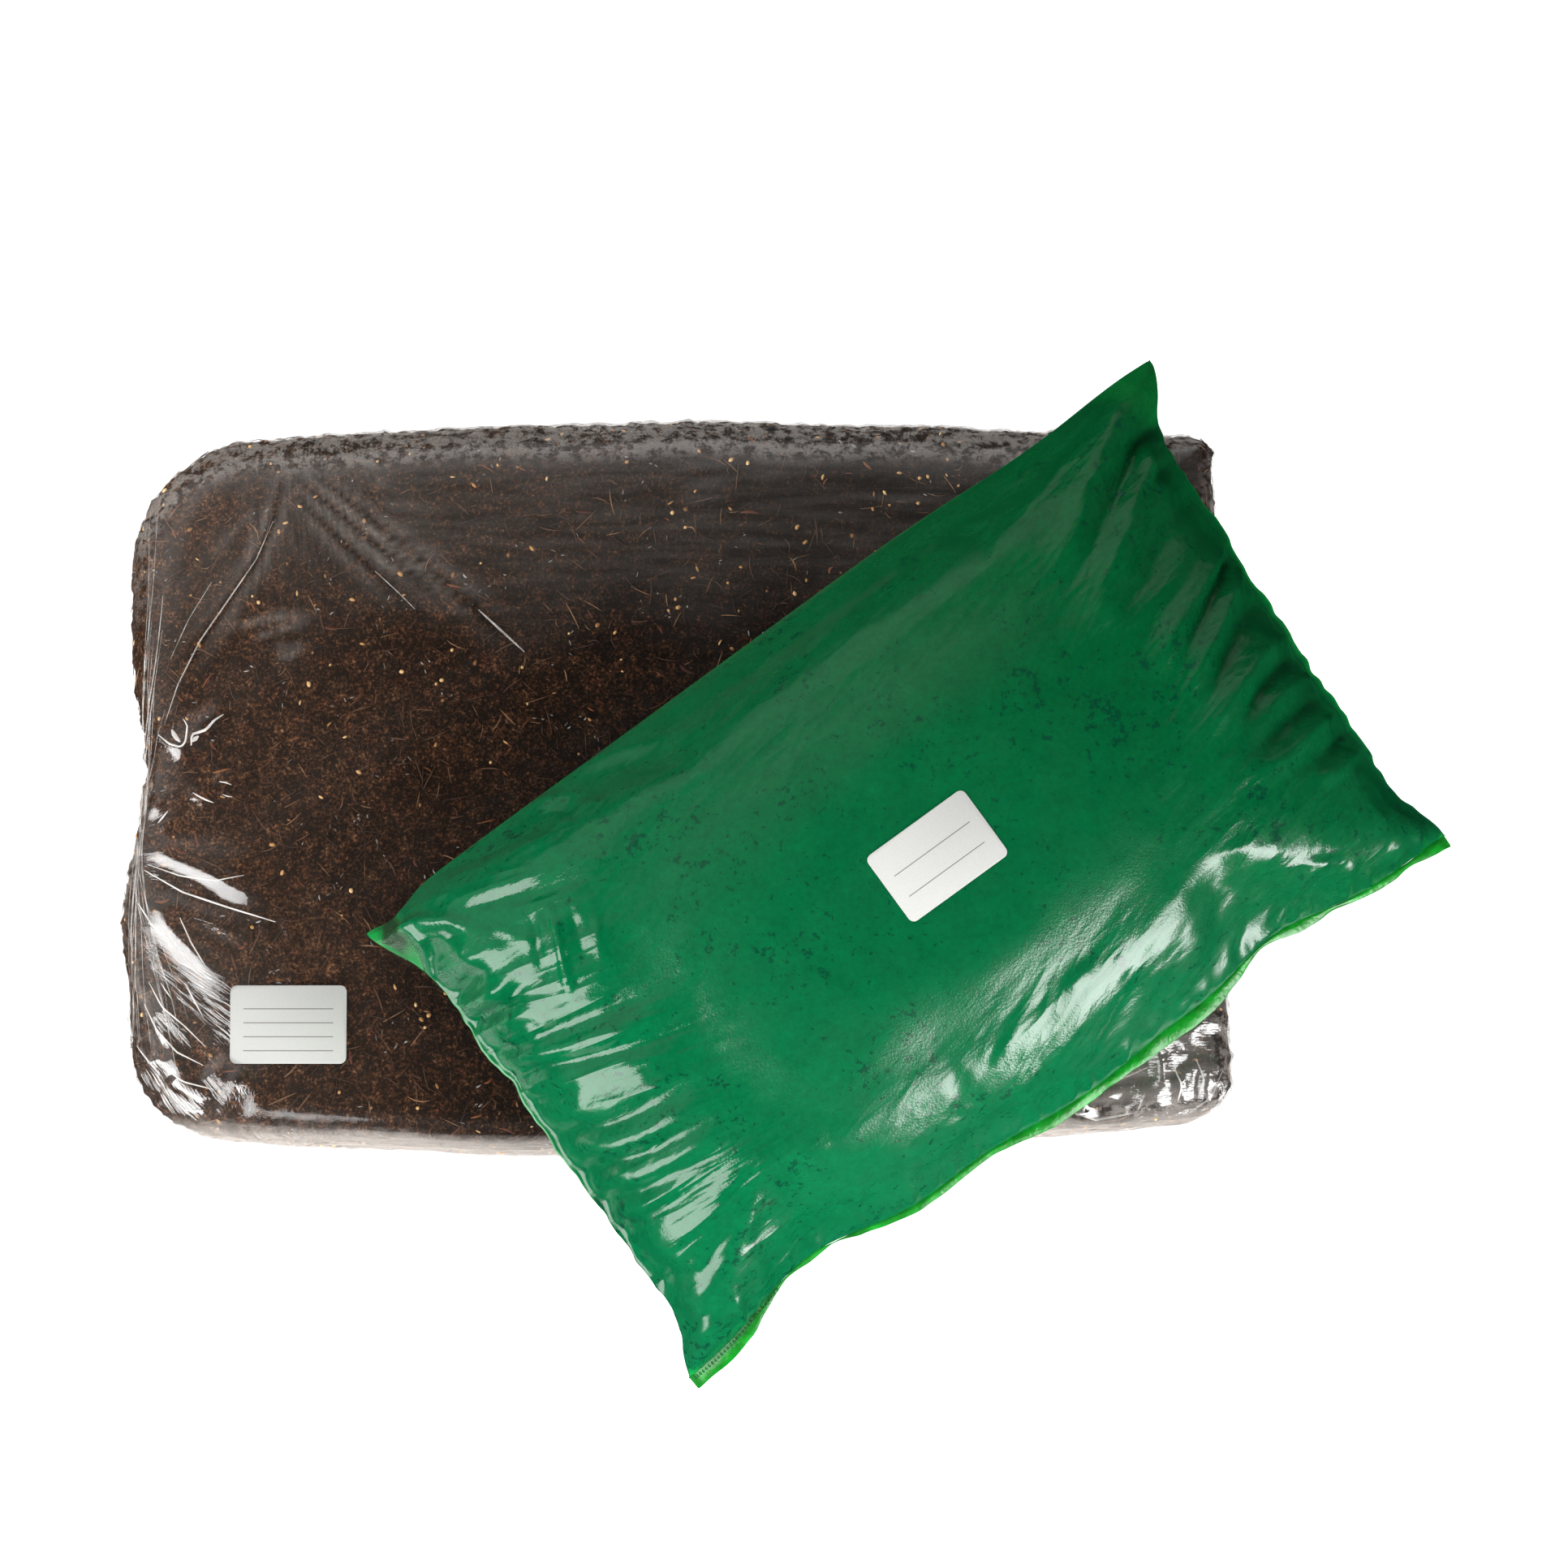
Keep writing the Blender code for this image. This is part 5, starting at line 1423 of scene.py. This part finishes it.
class GROWSET_OT_bag(bpy.types.Operator):
    """Fill the green bag: two sheets sealed at the rim, settled by a cloth simulation, then creased"""

    bl_idname = "growset.bag"
    bl_label = "Bag of casing peat"

    def execute(self, context):
        settings = context.scene.growset_bag
        across_cells = np.linspace(-1, 1, BAG_CELLS[1] + 1)
        s, t = np.meshgrid(np.linspace(-1, 1, BAG_CELLS[0] + 1), across_cells, indexing="ij")
        upper, lower = evened(bag_layer(s, t, True)), evened(bag_layer(s, t, False))
        points, faces, below, under = pillow(upper, lower)
        edge = np.ones(s.shape, bool)
        edge[1:-1, 1:-1] = False
        place = np.concatenate([np.stack([s, t], -1).reshape(-1, 2), np.stack([s[~edge], t[~edge]], -1)])
        settled = self.settled(points, faces, below, place, settings)
        points = self.kept_apart(settled, points, s.size, under)
        self.peat(points, s.shape, under)
        sheet = mesh_of("bag", points, faces)
        kept = np.zeros(len(points))
        kept[[0, s.shape[1] - 1, s.size - s.shape[1], s.size - 1]] = 1.0
        set_attribute(sheet, "crease_vert", kept)
        set_attribute(sheet, "inside", 1.0 - np.abs(place).max(axis=1))
        depth = np.zeros(len(points))
        gap = np.maximum(0.0, points[: s.size, 2] - points[under.ravel(), 2])
        depth[: s.size] = gap
        depth[under.ravel()] = gap
        set_attribute(sheet, "depth", depth)
        holder = placed("bag_holder", sheet)
        finer = holder.modifiers.new("finer", "SUBSURF")
        finer.levels = finer.render_levels = 1
        mesh = finished(holder)
        self.crease(mesh)
        bag = show(mesh, "casing_bag_film", green_film_material(settings), "green_film", ("casing_bag",))
        self.fin(points[: s.size].reshape(*s.shape, 3)[:, 0])
        return {"FINISHED"}

    def settled(self, points, faces, below, place, settings):
        """The bag's points after a cloth simulation under pressure, its rim put back where it was."""
        bag = placed("bag_cloth", mesh_of("bag_cloth", points, faces))
        bag.shape_key_add(name="Basis")
        flat = bag.shape_key_add(name="flat")
        size = np.array([settings.flat_length, settings.flat_width, 0.0]) / 2.0
        sheet = np.column_stack([place, np.zeros(len(place))]) * size
        flat.data.foreach_set("co", sheet.astype(np.float32).ravel())
        flat.value = 0.0
        pins = bag.vertex_groups.new(name="pins")
        held = below & (np.abs(place).max(axis=1) < 0.82)
        pins.add([int(n) for n in np.nonzero(held)[0]], 1.0, "REPLACE")
        modifier = bag.modifiers.new("cloth", "CLOTH")
        cloth = modifier.settings
        for name, value in CLOTH_SETTINGS.items():
            setattr(cloth, name, value)
        cloth.rest_shape_key = flat
        cloth.vertex_group_mass = "pins"
        cloth.effector_weights.gravity = 0.0
        modifier.collision_settings.use_collision = False
        modifier.point_cache.frame_end = CLOTH_FRAMES
        scene = bpy.context.scene
        scene.frame_start, scene.frame_end = 1, CLOTH_FRAMES
        for number in range(1, CLOTH_FRAMES + 1):
            scene.frame_set(number)
        mesh = finished(bag)
        move = points_of(mesh) - points
        scene.frame_set(1)
        length = np.linalg.norm(move, axis=1, keepdims=True)
        most = settings.most_move / MM
        move *= np.minimum(1.0, most / np.maximum(length, 1e-9))
        held = smooth((points[:, 2] - 262.0) / 20.0) * ~below
        move[:, 2] -= held * np.maximum(0.0, move[:, 2] - 1.0)
        inside = 1.0 - np.abs(place).max(axis=1)
        return points + move * smooth((inside - 0.01) / 0.13)[:, None]

    def kept_apart(self, moved, before, count, under):
        """The settled bag with its upper layer lifted where it came too near to the lower one."""
        over, low = np.arange(count), under.ravel()
        gap = before[over, 2] - before[low, 2]
        wanted = np.maximum(0.55 * gap, LEAST_GAP * (over != low))
        short = np.maximum(0.0, wanted - (moved[over, 2] - moved[low, 2]))
        moved[over, 2] += short
        return moved

    def crease(self, mesh):
        """Adds the small creases, marks the empty ears and the darker pocket, and flattens the label's place."""
        points, normals = points_of(mesh), normals_of(mesh)
        along, across = to_bag(points[:, 0], points[:, 1])
        places = np.column_stack([along, across])
        facing = smooth((normals[:, 2] + 0.05) / 0.3)
        relief = (0.68 * fold_field(places, LEFT_PLEATS) + 1.35 * fold_field(places, RIGHT_PLEATS)) * facing
        relief += fold_field(places, LEFT_CRUMPLES + SIDE_FOLDS + seam_gathers()) * facing
        spread = np.column_stack([along, across, points[:, 2]])
        end = smooth((np.abs(along) - 120.0) / 60.0)
        side = smooth((np.abs(across) - 85.0) / 35.0)
        fine = noise(spread * np.array([0.45, 1.0, 0.7]), 6.5, 31) * 0.42 + noise(spread, 3.6, 32) * 0.14
        inside = get_attribute(mesh, "inside")
        # By the seam the film is drawn smooth
        drawn = smooth((inside - 0.02) / 0.12)
        relief += facing * fine * drawn * (0.1 + 0.9 * np.maximum(end, 0.6 * side))
        relief += 0.5 * noise(spread, 34.0, 33) * facing
        relief *= smooth(inside / 0.045)
        # A fold never sinks through the layer beneath it
        relief = np.maximum(relief, -0.4 * get_attribute(mesh, "depth"))
        points += normals * relief[:, None]
        # The end seams wave a little
        waved = smooth(inside / 0.05, 1.0, 0.0) * smooth((np.abs(along) - 205.0) / 15.0)
        waved *= smooth((138.0 - np.abs(across)) / 20.0)
        on_seam = np.column_stack([across, np.sign(along) * 50.0, np.zeros(len(across))])
        wave = waved * (2.4 * noise(on_seam, 15.0, 37) + 1.2 * noise(on_seam, 6.0, 38))
        points[:, 0] += wave * math.cos(BAG_TURN)
        points[:, 1] += wave * math.sin(BAG_TURN)
        # The far left ear is empty and turned down beyond the lip of the filled part
        lip = np.interp(across, *np.array(LIP).T)
        flap = smooth((lip - along) / 1.6) * smooth((across - LIP[0][0]) / 6.0)
        shown = smooth((normals[:, 2] - 0.02) / 0.1)
        raised = shown * FLAP_RISE * bell(along - lip - 2.2, 2.6) * (across > LIP[0][0])
        points[:, 2] += raised - FLAP_DROP * flap
        away = np.hypot(along - BAG_LABEL_AT[0], across - BAG_LABEL_AT[1])
        level = (1.0 - smooth((away - 36.0) / 40.0)) * facing
        points[:, 2] += level * (BAG_LABEL_REST - points[:, 2])
        move_points(mesh, points)
        wander = 3.0 * noise(spread, 12.0, 34)
        ear = np.zeros(len(points))
        for corner, (reach, strength) in zip(BAG_CORNERS, EMPTY_EARS):
            near = np.hypot(along - corner[0], across - corner[1]) + 0.5 * wander
            ear = np.maximum(ear, strength * smooth((near - 0.6 * reach) / (0.4 * reach), 1.0, 0.0))
        seam = 0.3 * smooth(inside / SEAM_WIDTH, 1.0, 0.0) * (1.0 - smooth((-across - 120.0) / 10.0))
        set_attribute(mesh, "empty", np.maximum(np.maximum(ear, seam), 0.4 * flap))
        slack = smooth((np.abs(along) - 95.0) / 75.0)
        slack = np.maximum(slack, 0.5 * smooth((np.abs(across) - 62.0) / 50.0))
        slack = slack * (1.0 - 0.45 * smooth((-along - 120.0) / 40.0))
        slack *= 0.25 + 0.75 * drawn
        set_attribute(mesh, "slack", np.clip(slack * (0.75 + 0.35 * noise(spread, 40.0, 35)), 0.04, 1.0))
        # Painted light: the film's colour is lifted towards the near left, the side that the lamps light, and
        # darker towards the far right
        set_attribute(mesh, "lift", smooth((230.0 - 0.62 * along - 0.55 * across) / 400.0))
        # The pocket by the lip of the turned-down ear is coloured darker
        darker_pocket = bell(np.hypot((along - POCKET_AT[0]) / 0.5, across - POCKET_AT[1]) + 0.5 * wander, 12.0) * flap
        set_attribute(mesh, "pocket", np.clip(1.7 * darker_pocket, 0.0, 1.0))
        stream, strength = self.pleat_lines(along, across)
        set_vector(mesh, "pleat", stream)
        set_attribute(mesh, "pleated", strength * smooth(inside / 0.02))

    def pleat_lines(self, along, across):
        """Coordinates that change quickly across the pleats, slowly along them, and how pleated the film is."""
        ends = []
        for table, seam in ((LEFT_LEANS, -240.0), (RIGHT_LEANS, 240.0)):
            start = across.copy()
            for _ in range(6):
                start = 0.5 * start + 0.5 * (across - np.interp(start, *np.array(table).T) * (along - seam))
            ends.append(np.column_stack([start / 24.0, along / 170.0, np.full(len(along), seam)]))
        side = np.column_stack([(across - 0.30 * along) / 20.0, along / 75.0, np.zeros(len(along))])
        left = smooth((-along - 105.0) / 70.0)
        right = smooth((along - 110.0) / 80.0)
        near = smooth((-across - 62.0) / 40.0) * (1.0 - left) * (1.0 - right)
        near *= smooth((along + 60.0) / 50.0) * (1.0 - smooth((along - 66.0) / 30.0))
        stream = side + (ends[0] - side) * (along < 0.0)[:, None] * smooth((-along - 95.0) / 12.0)[:, None]
        stream = stream + (ends[1] - side) * smooth((along - 100.0) / 12.0)[:, None]
        patch = 0.75 + 0.5 * noise(np.column_stack([along / 60.0, across / 22.0, 0.0 * along]), 1.0, 36)
        return stream, np.clip(patch * (left + 0.45 * right + 0.45 * near), 0.0, 1.0)

    def fin(self, rim):
        """The welded strip beyond the near seam, wavy and bright, with its row of perforations."""
        way = np.gradient(rim, axis=0)
        way[:, 2] = 0.0
        way /= np.linalg.norm(way, axis=1, keepdims=True)
        outward = np.column_stack([way[:, 1], -way[:, 0], np.zeros(len(way))])
        walked = np.concatenate([[0.0], np.cumsum(np.linalg.norm(np.diff(rim, axis=0), axis=1))])
        line = np.column_stack([walked, np.zeros_like(walked), np.zeros_like(walked)])
        along, _ = to_bag(rim[:, 0], rim[:, 1])
        width = np.interp(along, *FIN_WIDTHS) + 0.8 * noise(line, 7.0, 72)
        width *= 1.0 + 0.3 * smooth((along + 60.0) / 60.0)
        wave = 1.6 * noise(line, 15.0, 73) * smooth(walked / 60.0, 0.3, 1.0)
        rows = []
        for share in (-0.35, 0.1, 0.4, 0.7, 1.0):
            row = rim + outward * (width * share)[:, None]
            row[:, 2] += wave * max(0.0, share) - 1.8 * max(0.0, share) ** 2
            rows.append(row)
        grid = np.stack(rows, axis=1)
        thick = np.array([0.0, 0.0, 0.3])
        over, low = grid + thick, grid - thick
        for edge in (np.s_[0], np.s_[-1], np.s_[:, 0], np.s_[:, -1]):
            over[edge] = low[edge] = grid[edge]
        points, faces, _, _ = pillow(over[:, ::-1], low[:, ::-1])
        holder = placed("fin_holder", mesh_of("bag_fin", points, [face[::-1] for face in faces]))
        finer = holder.modifiers.new("finer", "SUBSURF")
        finer.levels = finer.render_levels = 2
        show(finished(holder), "bag_fin", fin_material(), "green_film")
        chosen = (walked > 6.0) & (walked < 78.0)
        path = rim[chosen] + outward[chosen] * 1.2 + np.array([0.0, 0.0, 0.35])
        show(self.perforations(path), "fin_perforations", None, "green_film")

    def perforations(self, path):
        """Small raised rims along a path, evenly spaced."""

        def build(group, given):
            values = {"Curve": given["Geometry"], "Length": given["Spacing"]}
            even = add_node(group, "GeometryNodeResampleCurve", values, mode="LENGTH")
            points = add_node(group, "GeometryNodeCurveToPoints", {"Curve": even}, mode="EVALUATED")
            thin = add_node(group, "Math", (given["Radius"], 0.38), operation="MULTIPLY")
            ring, wire = (
                add_node(group, "GeometryNodeCurvePrimitiveCircle", {"Resolution": count, "Radius": radius})
                for count, radius in ((8, given["Radius"]), (4, thin))
            )
            rim = add_node(group, "GeometryNodeCurveToMesh", {"Curve": ring, "Profile Curve": wire})
            return add_node(group, "GeometryNodeInstanceOnPoints", {"Points": points, "Instance": rim})

        wanted = {"Spacing": ("Float", 0.0024), "Radius": ("Float", 0.0007)}
        wanted["Material"] = ("Material", perforation_material())
        return grown("weld_perforations", path_holder("perforation", [path * MM]), wanted, build)

    def peat(self, points, shape, under):
        """The peat in the bag, a little inside its film."""
        rim = 8
        inner = (slice(rim, -rim), slice(rim, -rim))
        over = points[: shape[0] * shape[1]].reshape(*shape, 3)[inner].copy()
        low = points[under[inner].ravel()].reshape(over.shape).copy()
        gap = np.maximum(0.0, over[..., 2] - low[..., 2])
        over[..., 2] = np.minimum(low[..., 2] + np.maximum(0.3 * gap, 0.9 * gap - 7.0), BAG_LABEL_REST - 6.0)
        low[..., 2] += np.minimum(1.2, 0.2 * gap)
        middle = (over + low) / 2.0
        for grid in (over, low):
            grid[0], grid[-1], grid[:, 0], grid[:, -1] = middle[0], middle[-1], middle[:, 0], middle[:, -1]
        points, faces, _, _ = pillow(over, low)
        mesh = mesh_of("casing_peat_fill", points, faces)
        show(mesh, "casing_peat_fill", peat_material(), "peat", ("casing_peat",))


def paper_material(name, dark, light):
    """Coated white label paper, cut with rounded corners: clean, matt, very slightly fibrous, and ruled."""
    made, tree, place = new_material(name)
    fibre = add_node(tree, "TexNoise", {"Vector": place, "Scale": METRE / 0.7, "Detail": 4.0, "Roughness": 0.7})
    # Ruled lines to write on: the third number is their spacing in millimetres
    ruled = add_node(tree, "Attribute", out="Vector", attribute_name="ruled")
    along, across, spacing = add_node(tree, "SeparateXYZ", (ruled,), None)
    half = add_node(tree, "Math", (spacing, 0.5), operation="MULTIPLY")
    turn = add_node(tree, "Math", (across, half), operation="ADD")
    turn = add_node(tree, "Math", (turn, half), operation="PINGPONG")
    ink = add_node(tree, "MapRange", (turn, 0.2, 0.3, 0.8, 0.0))
    for part, low, high in ((along, 24.0, 24.2), (across, 14.8, 15.0)):
        away = add_node(tree, "Math", (part,), operation="ABSOLUTE")
        within = add_node(tree, "MapRange", (away, low, high, 1.0, 0.0))
        ink = add_node(tree, "Math", (ink, within), operation="MULTIPLY")
    paper = add_node(tree, "ValToRGB", (fibre,), stops=((0.3, dark), (0.7, light)))
    colour = add_node(tree, "Mix", {0: ink, 6: paper, 7: linear("#4a443f")}, 2, data_type="RGBA")
    bump = add_node(tree, "Bump", {"Strength": 0.12, "Distance": 0.0002, "Height": fibre})
    values = {"Base Color": colour, "Roughness": 0.62, "IOR": 1.5, "Specular IOR Level": 0.3, "Normal": bump}
    add_node(tree, "OutputMaterial", (add_node(tree, "BsdfPrincipled", values),))
    return made


class GROWSET_OT_labels(bpy.types.Operator):
    """Lay the two paper labels on the clear film and on the bag"""

    bl_idname = "growset.labels"
    bl_label = "Paper labels"

    def execute(self, context):
        settings = context.scene.growset_label
        bag_at = to_block(*(np.array(place) for place in BAG_LABEL_AT))
        # Both labels are the same white paper; the block label's is set darker, a painted shade
        for node, slot, place, turn, shift, spacing, shades in (
            ("block_label", "label_paper", BLOCK_LABEL_AT, 0.0, -2.8, 7.5, ("#a1a19d", "#aaaba7")),
            ("bag_label", "bag_label_paper", bag_at, BAG_TURN, -2.0, 13.0, ("#aeaeaa", "#b7b8b4")),
        ):
            base, top = (corner[2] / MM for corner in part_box(node)[0:2])
            points, faces = self.plate(settings)
            ruled = np.column_stack([points[:, 0], points[:, 1] - shift, np.full(len(points), spacing)])
            spin = np.array([[math.cos(turn), -math.sin(turn)], [math.sin(turn), math.cos(turn)]])
            points[:, :2] = points[:, :2] @ spin.T + np.array([float(place[0]), float(place[1])])
            points[:, 2] = base + points[:, 2] * (top - base)
            mesh = mesh_of(node, points, faces)
            set_vector(mesh, "ruled", ruled)
            show(mesh, node + "_sticker", paper_material("white_" + slot, *shades), slot, (node,))
        return {"FINISHED"}

    def plate(self, settings):
        """A thin sheet with rounded corners, its height from 0 to 1."""
        half = np.array([settings.length, settings.width]) / MM / 2.0
        radius = settings.corner / MM
        ring = []
        for quarter, signs in enumerate(((1, 1), (-1, 1), (-1, -1), (1, -1))):
            for step in range(9):
                angle = math.radians(90.0 * quarter + 11.25 * step)
                way = np.array([math.cos(angle), math.sin(angle)])
                ring.append(np.array(signs) * (half - radius) + radius * way)
        ring = np.array(ring)
        count = len(ring)
        # Each row's share of the outline and its height
        rows = ((0.9965, 0.0), (1.0, 0.25), (1.0, 0.8), (0.997, 1.0))
        layers = [np.column_stack([ring * share, np.full(count, height)]) for share, height in rows]
        points = np.concatenate(layers)
        faces = [tuple(reversed(range(count)))]
        for row in range(len(rows) - 1):
            for n in range(count):
                m = (n + 1) % count
                faces.append((row * count + n, row * count + m, (row + 1) * count + m, (row + 1) * count + n))
        faces.append(tuple(range(3 * count, 4 * count)))
        return points, faces


class GROWSET_OT_stage(bpy.types.Operator):
    """Set the pale floor, the soft lights and the camera"""

    bl_idname = "growset.stage"
    bl_label = "Stage"

    def execute(self, context):
        settings = context.scene.growset_stage
        half = settings.floor_size / 2.0
        mesh = bpy.data.meshes.new("floor")
        corners = [(x * half, y * half, -0.0005) for x, y in ((-1, -1), (1, -1), (1, 1), (-1, 1))]
        mesh.from_pydata(corners, [], [(0, 1, 2, 3)])
        made, tree, _ = new_material("matt_paper_floor")
        values = {"Base Color": linear("#fafaf9"), "Roughness": 0.9, "Specular IOR Level": 0.1}
        values |= {"Emission Color": WHITE, "Emission Strength": settings.floor_glow}
        add_node(tree, "OutputMaterial", (add_node(tree, "BsdfPrincipled", values),))
        mesh.materials.append(made)
        floor = placed("floor", mesh)
        # The table's glare is kept off the film, as a flag in a studio does
        floor.visible_glossy = False
        self.area("softbox_left", 221.0, 27.0, 1.8, (1.35, 1.75), settings.key_left)
        self.area("softbox_right", -42.0, 23.0, 1.8, (0.7, 1.7), settings.key_right)
        # A fill beyond the object is kept off the film by a flag too
        fill = self.area("softbox_far", 112.0, 38.0, 2.2, (1.6, 1.0), settings.fill_far)
        fill.visible_glossy = False
        world = bpy.data.worlds.new("studio")
        world.use_nodes = True
        sky = world.node_tree
        sky.nodes.clear()
        way = add_node(sky, "TexCoord", out="Generated")
        east, north, up = add_node(sky, "SeparateXYZ", (way,), None)
        low = add_node(sky, "MapRange", (up, 0.0, 0.6, settings.sky_low, 0.0))
        # The bright wall stands beyond the object and a little to its left
        wall = add_node(sky, "Math", (north, 0.73), operation="MULTIPLY")
        wall = add_node(sky, "Math", (east, -0.68, wall), operation="MULTIPLY_ADD")
        far = add_node(sky, "MapRange", (wall, 0.14, 0.62, 0.015, settings.sky_far))
        above = add_node(sky, "MapRange", (up, -0.02, 0.12))
        strength = add_node(sky, "Math", (low, far), operation="ADD")
        strength = add_node(sky, "Math", (strength, above), operation="MULTIPLY")
        light = add_node(sky, "Background", {"Color": WHITE, "Strength": strength})
        add_node(sky, "OutputWorld", (light,), is_active_output=True)
        context.scene.world = world
        camera = bpy.data.cameras.new("camera")
        camera.lens = settings.lens
        camera.sensor_width = 36.0
        holder = placed("camera", camera)
        # The photograph looks down at 85 degrees from 3 m away
        holder.location = (0.059, -0.2591, 3.1686)
        holder.rotation_euler = (math.radians(5.0), 0.0, 0.0)
        context.scene.camera = holder
        context.scene.view_settings.view_transform = "Standard"
        return {"FINISHED"}

    def area(self, name, azimuth, elevation, distance, size, radiance):
        """A rectangular softbox that faces the object, with the brightness of its face."""
        turn, lift = math.radians(azimuth), math.radians(elevation)
        way = Vector((math.cos(turn) * math.cos(lift), math.sin(turn) * math.cos(lift), math.sin(lift)))
        light = bpy.data.lights.new(name, "AREA")
        light.shape = "RECTANGLE"
        light.size, light.size_y = size
        light.energy = radiance * math.pi * size[0] * size[1]
        made = placed(name, light)
        made.location = Vector((0.06, 0.0, 0.2)) + way * distance
        made.rotation_euler = way.to_track_quat("Z", "Y").to_euler()
        made.visible_camera = False
        return made


class GROWSET_PT_panel(bpy.types.Panel):
    """Lists the set's pieces"""

    bl_idname = "GROWSET_PT_panel"
    bl_label = "Growing set"
    bl_space_type = "VIEW_3D"
    bl_region_type = "UI"
    bl_category = "Growing set"

    def draw(self, context):
        layout = self.layout
        for operator in OPERATORS:
            layout.operator(operator.bl_idname)
        for name in SETTINGS:
            group = getattr(context.scene, name)
            box = layout.box()
            for prop in group.bl_rna.properties:
                if prop.identifier not in ("rna_type", "name"):
                    box.prop(group, prop.identifier)


OPERATORS = (GROWSET_OT_stage, GROWSET_OT_compost, GROWSET_OT_film, GROWSET_OT_bag, GROWSET_OT_labels)
SETTINGS = {
    "growset_compost": CompostSettings,
    "growset_film": FilmSettings,
    "growset_bag": BagSettings,
    "growset_label": LabelSettings,
    "growset_stage": StageSettings,
}


def register():
    for kind in (*SETTINGS.values(), *OPERATORS, GROWSET_PT_panel):
        bpy.utils.register_class(kind)
    for name, kind in SETTINGS.items():
        setattr(bpy.types.Scene, name, bpy.props.PointerProperty(type=kind))


def unregister():
    for name in SETTINGS:
        delattr(bpy.types.Scene, name)
    for kind in reversed((*SETTINGS.values(), *OPERATORS, GROWSET_PT_panel)):
        bpy.utils.unregister_class(kind)


def main():
    register()
    bpy.ops.growset.stage()
    bpy.ops.growset.compost()
    bpy.ops.growset.film()
    bpy.ops.growset.bag()
    bpy.ops.growset.labels()


if __name__ == "__main__":
    main()
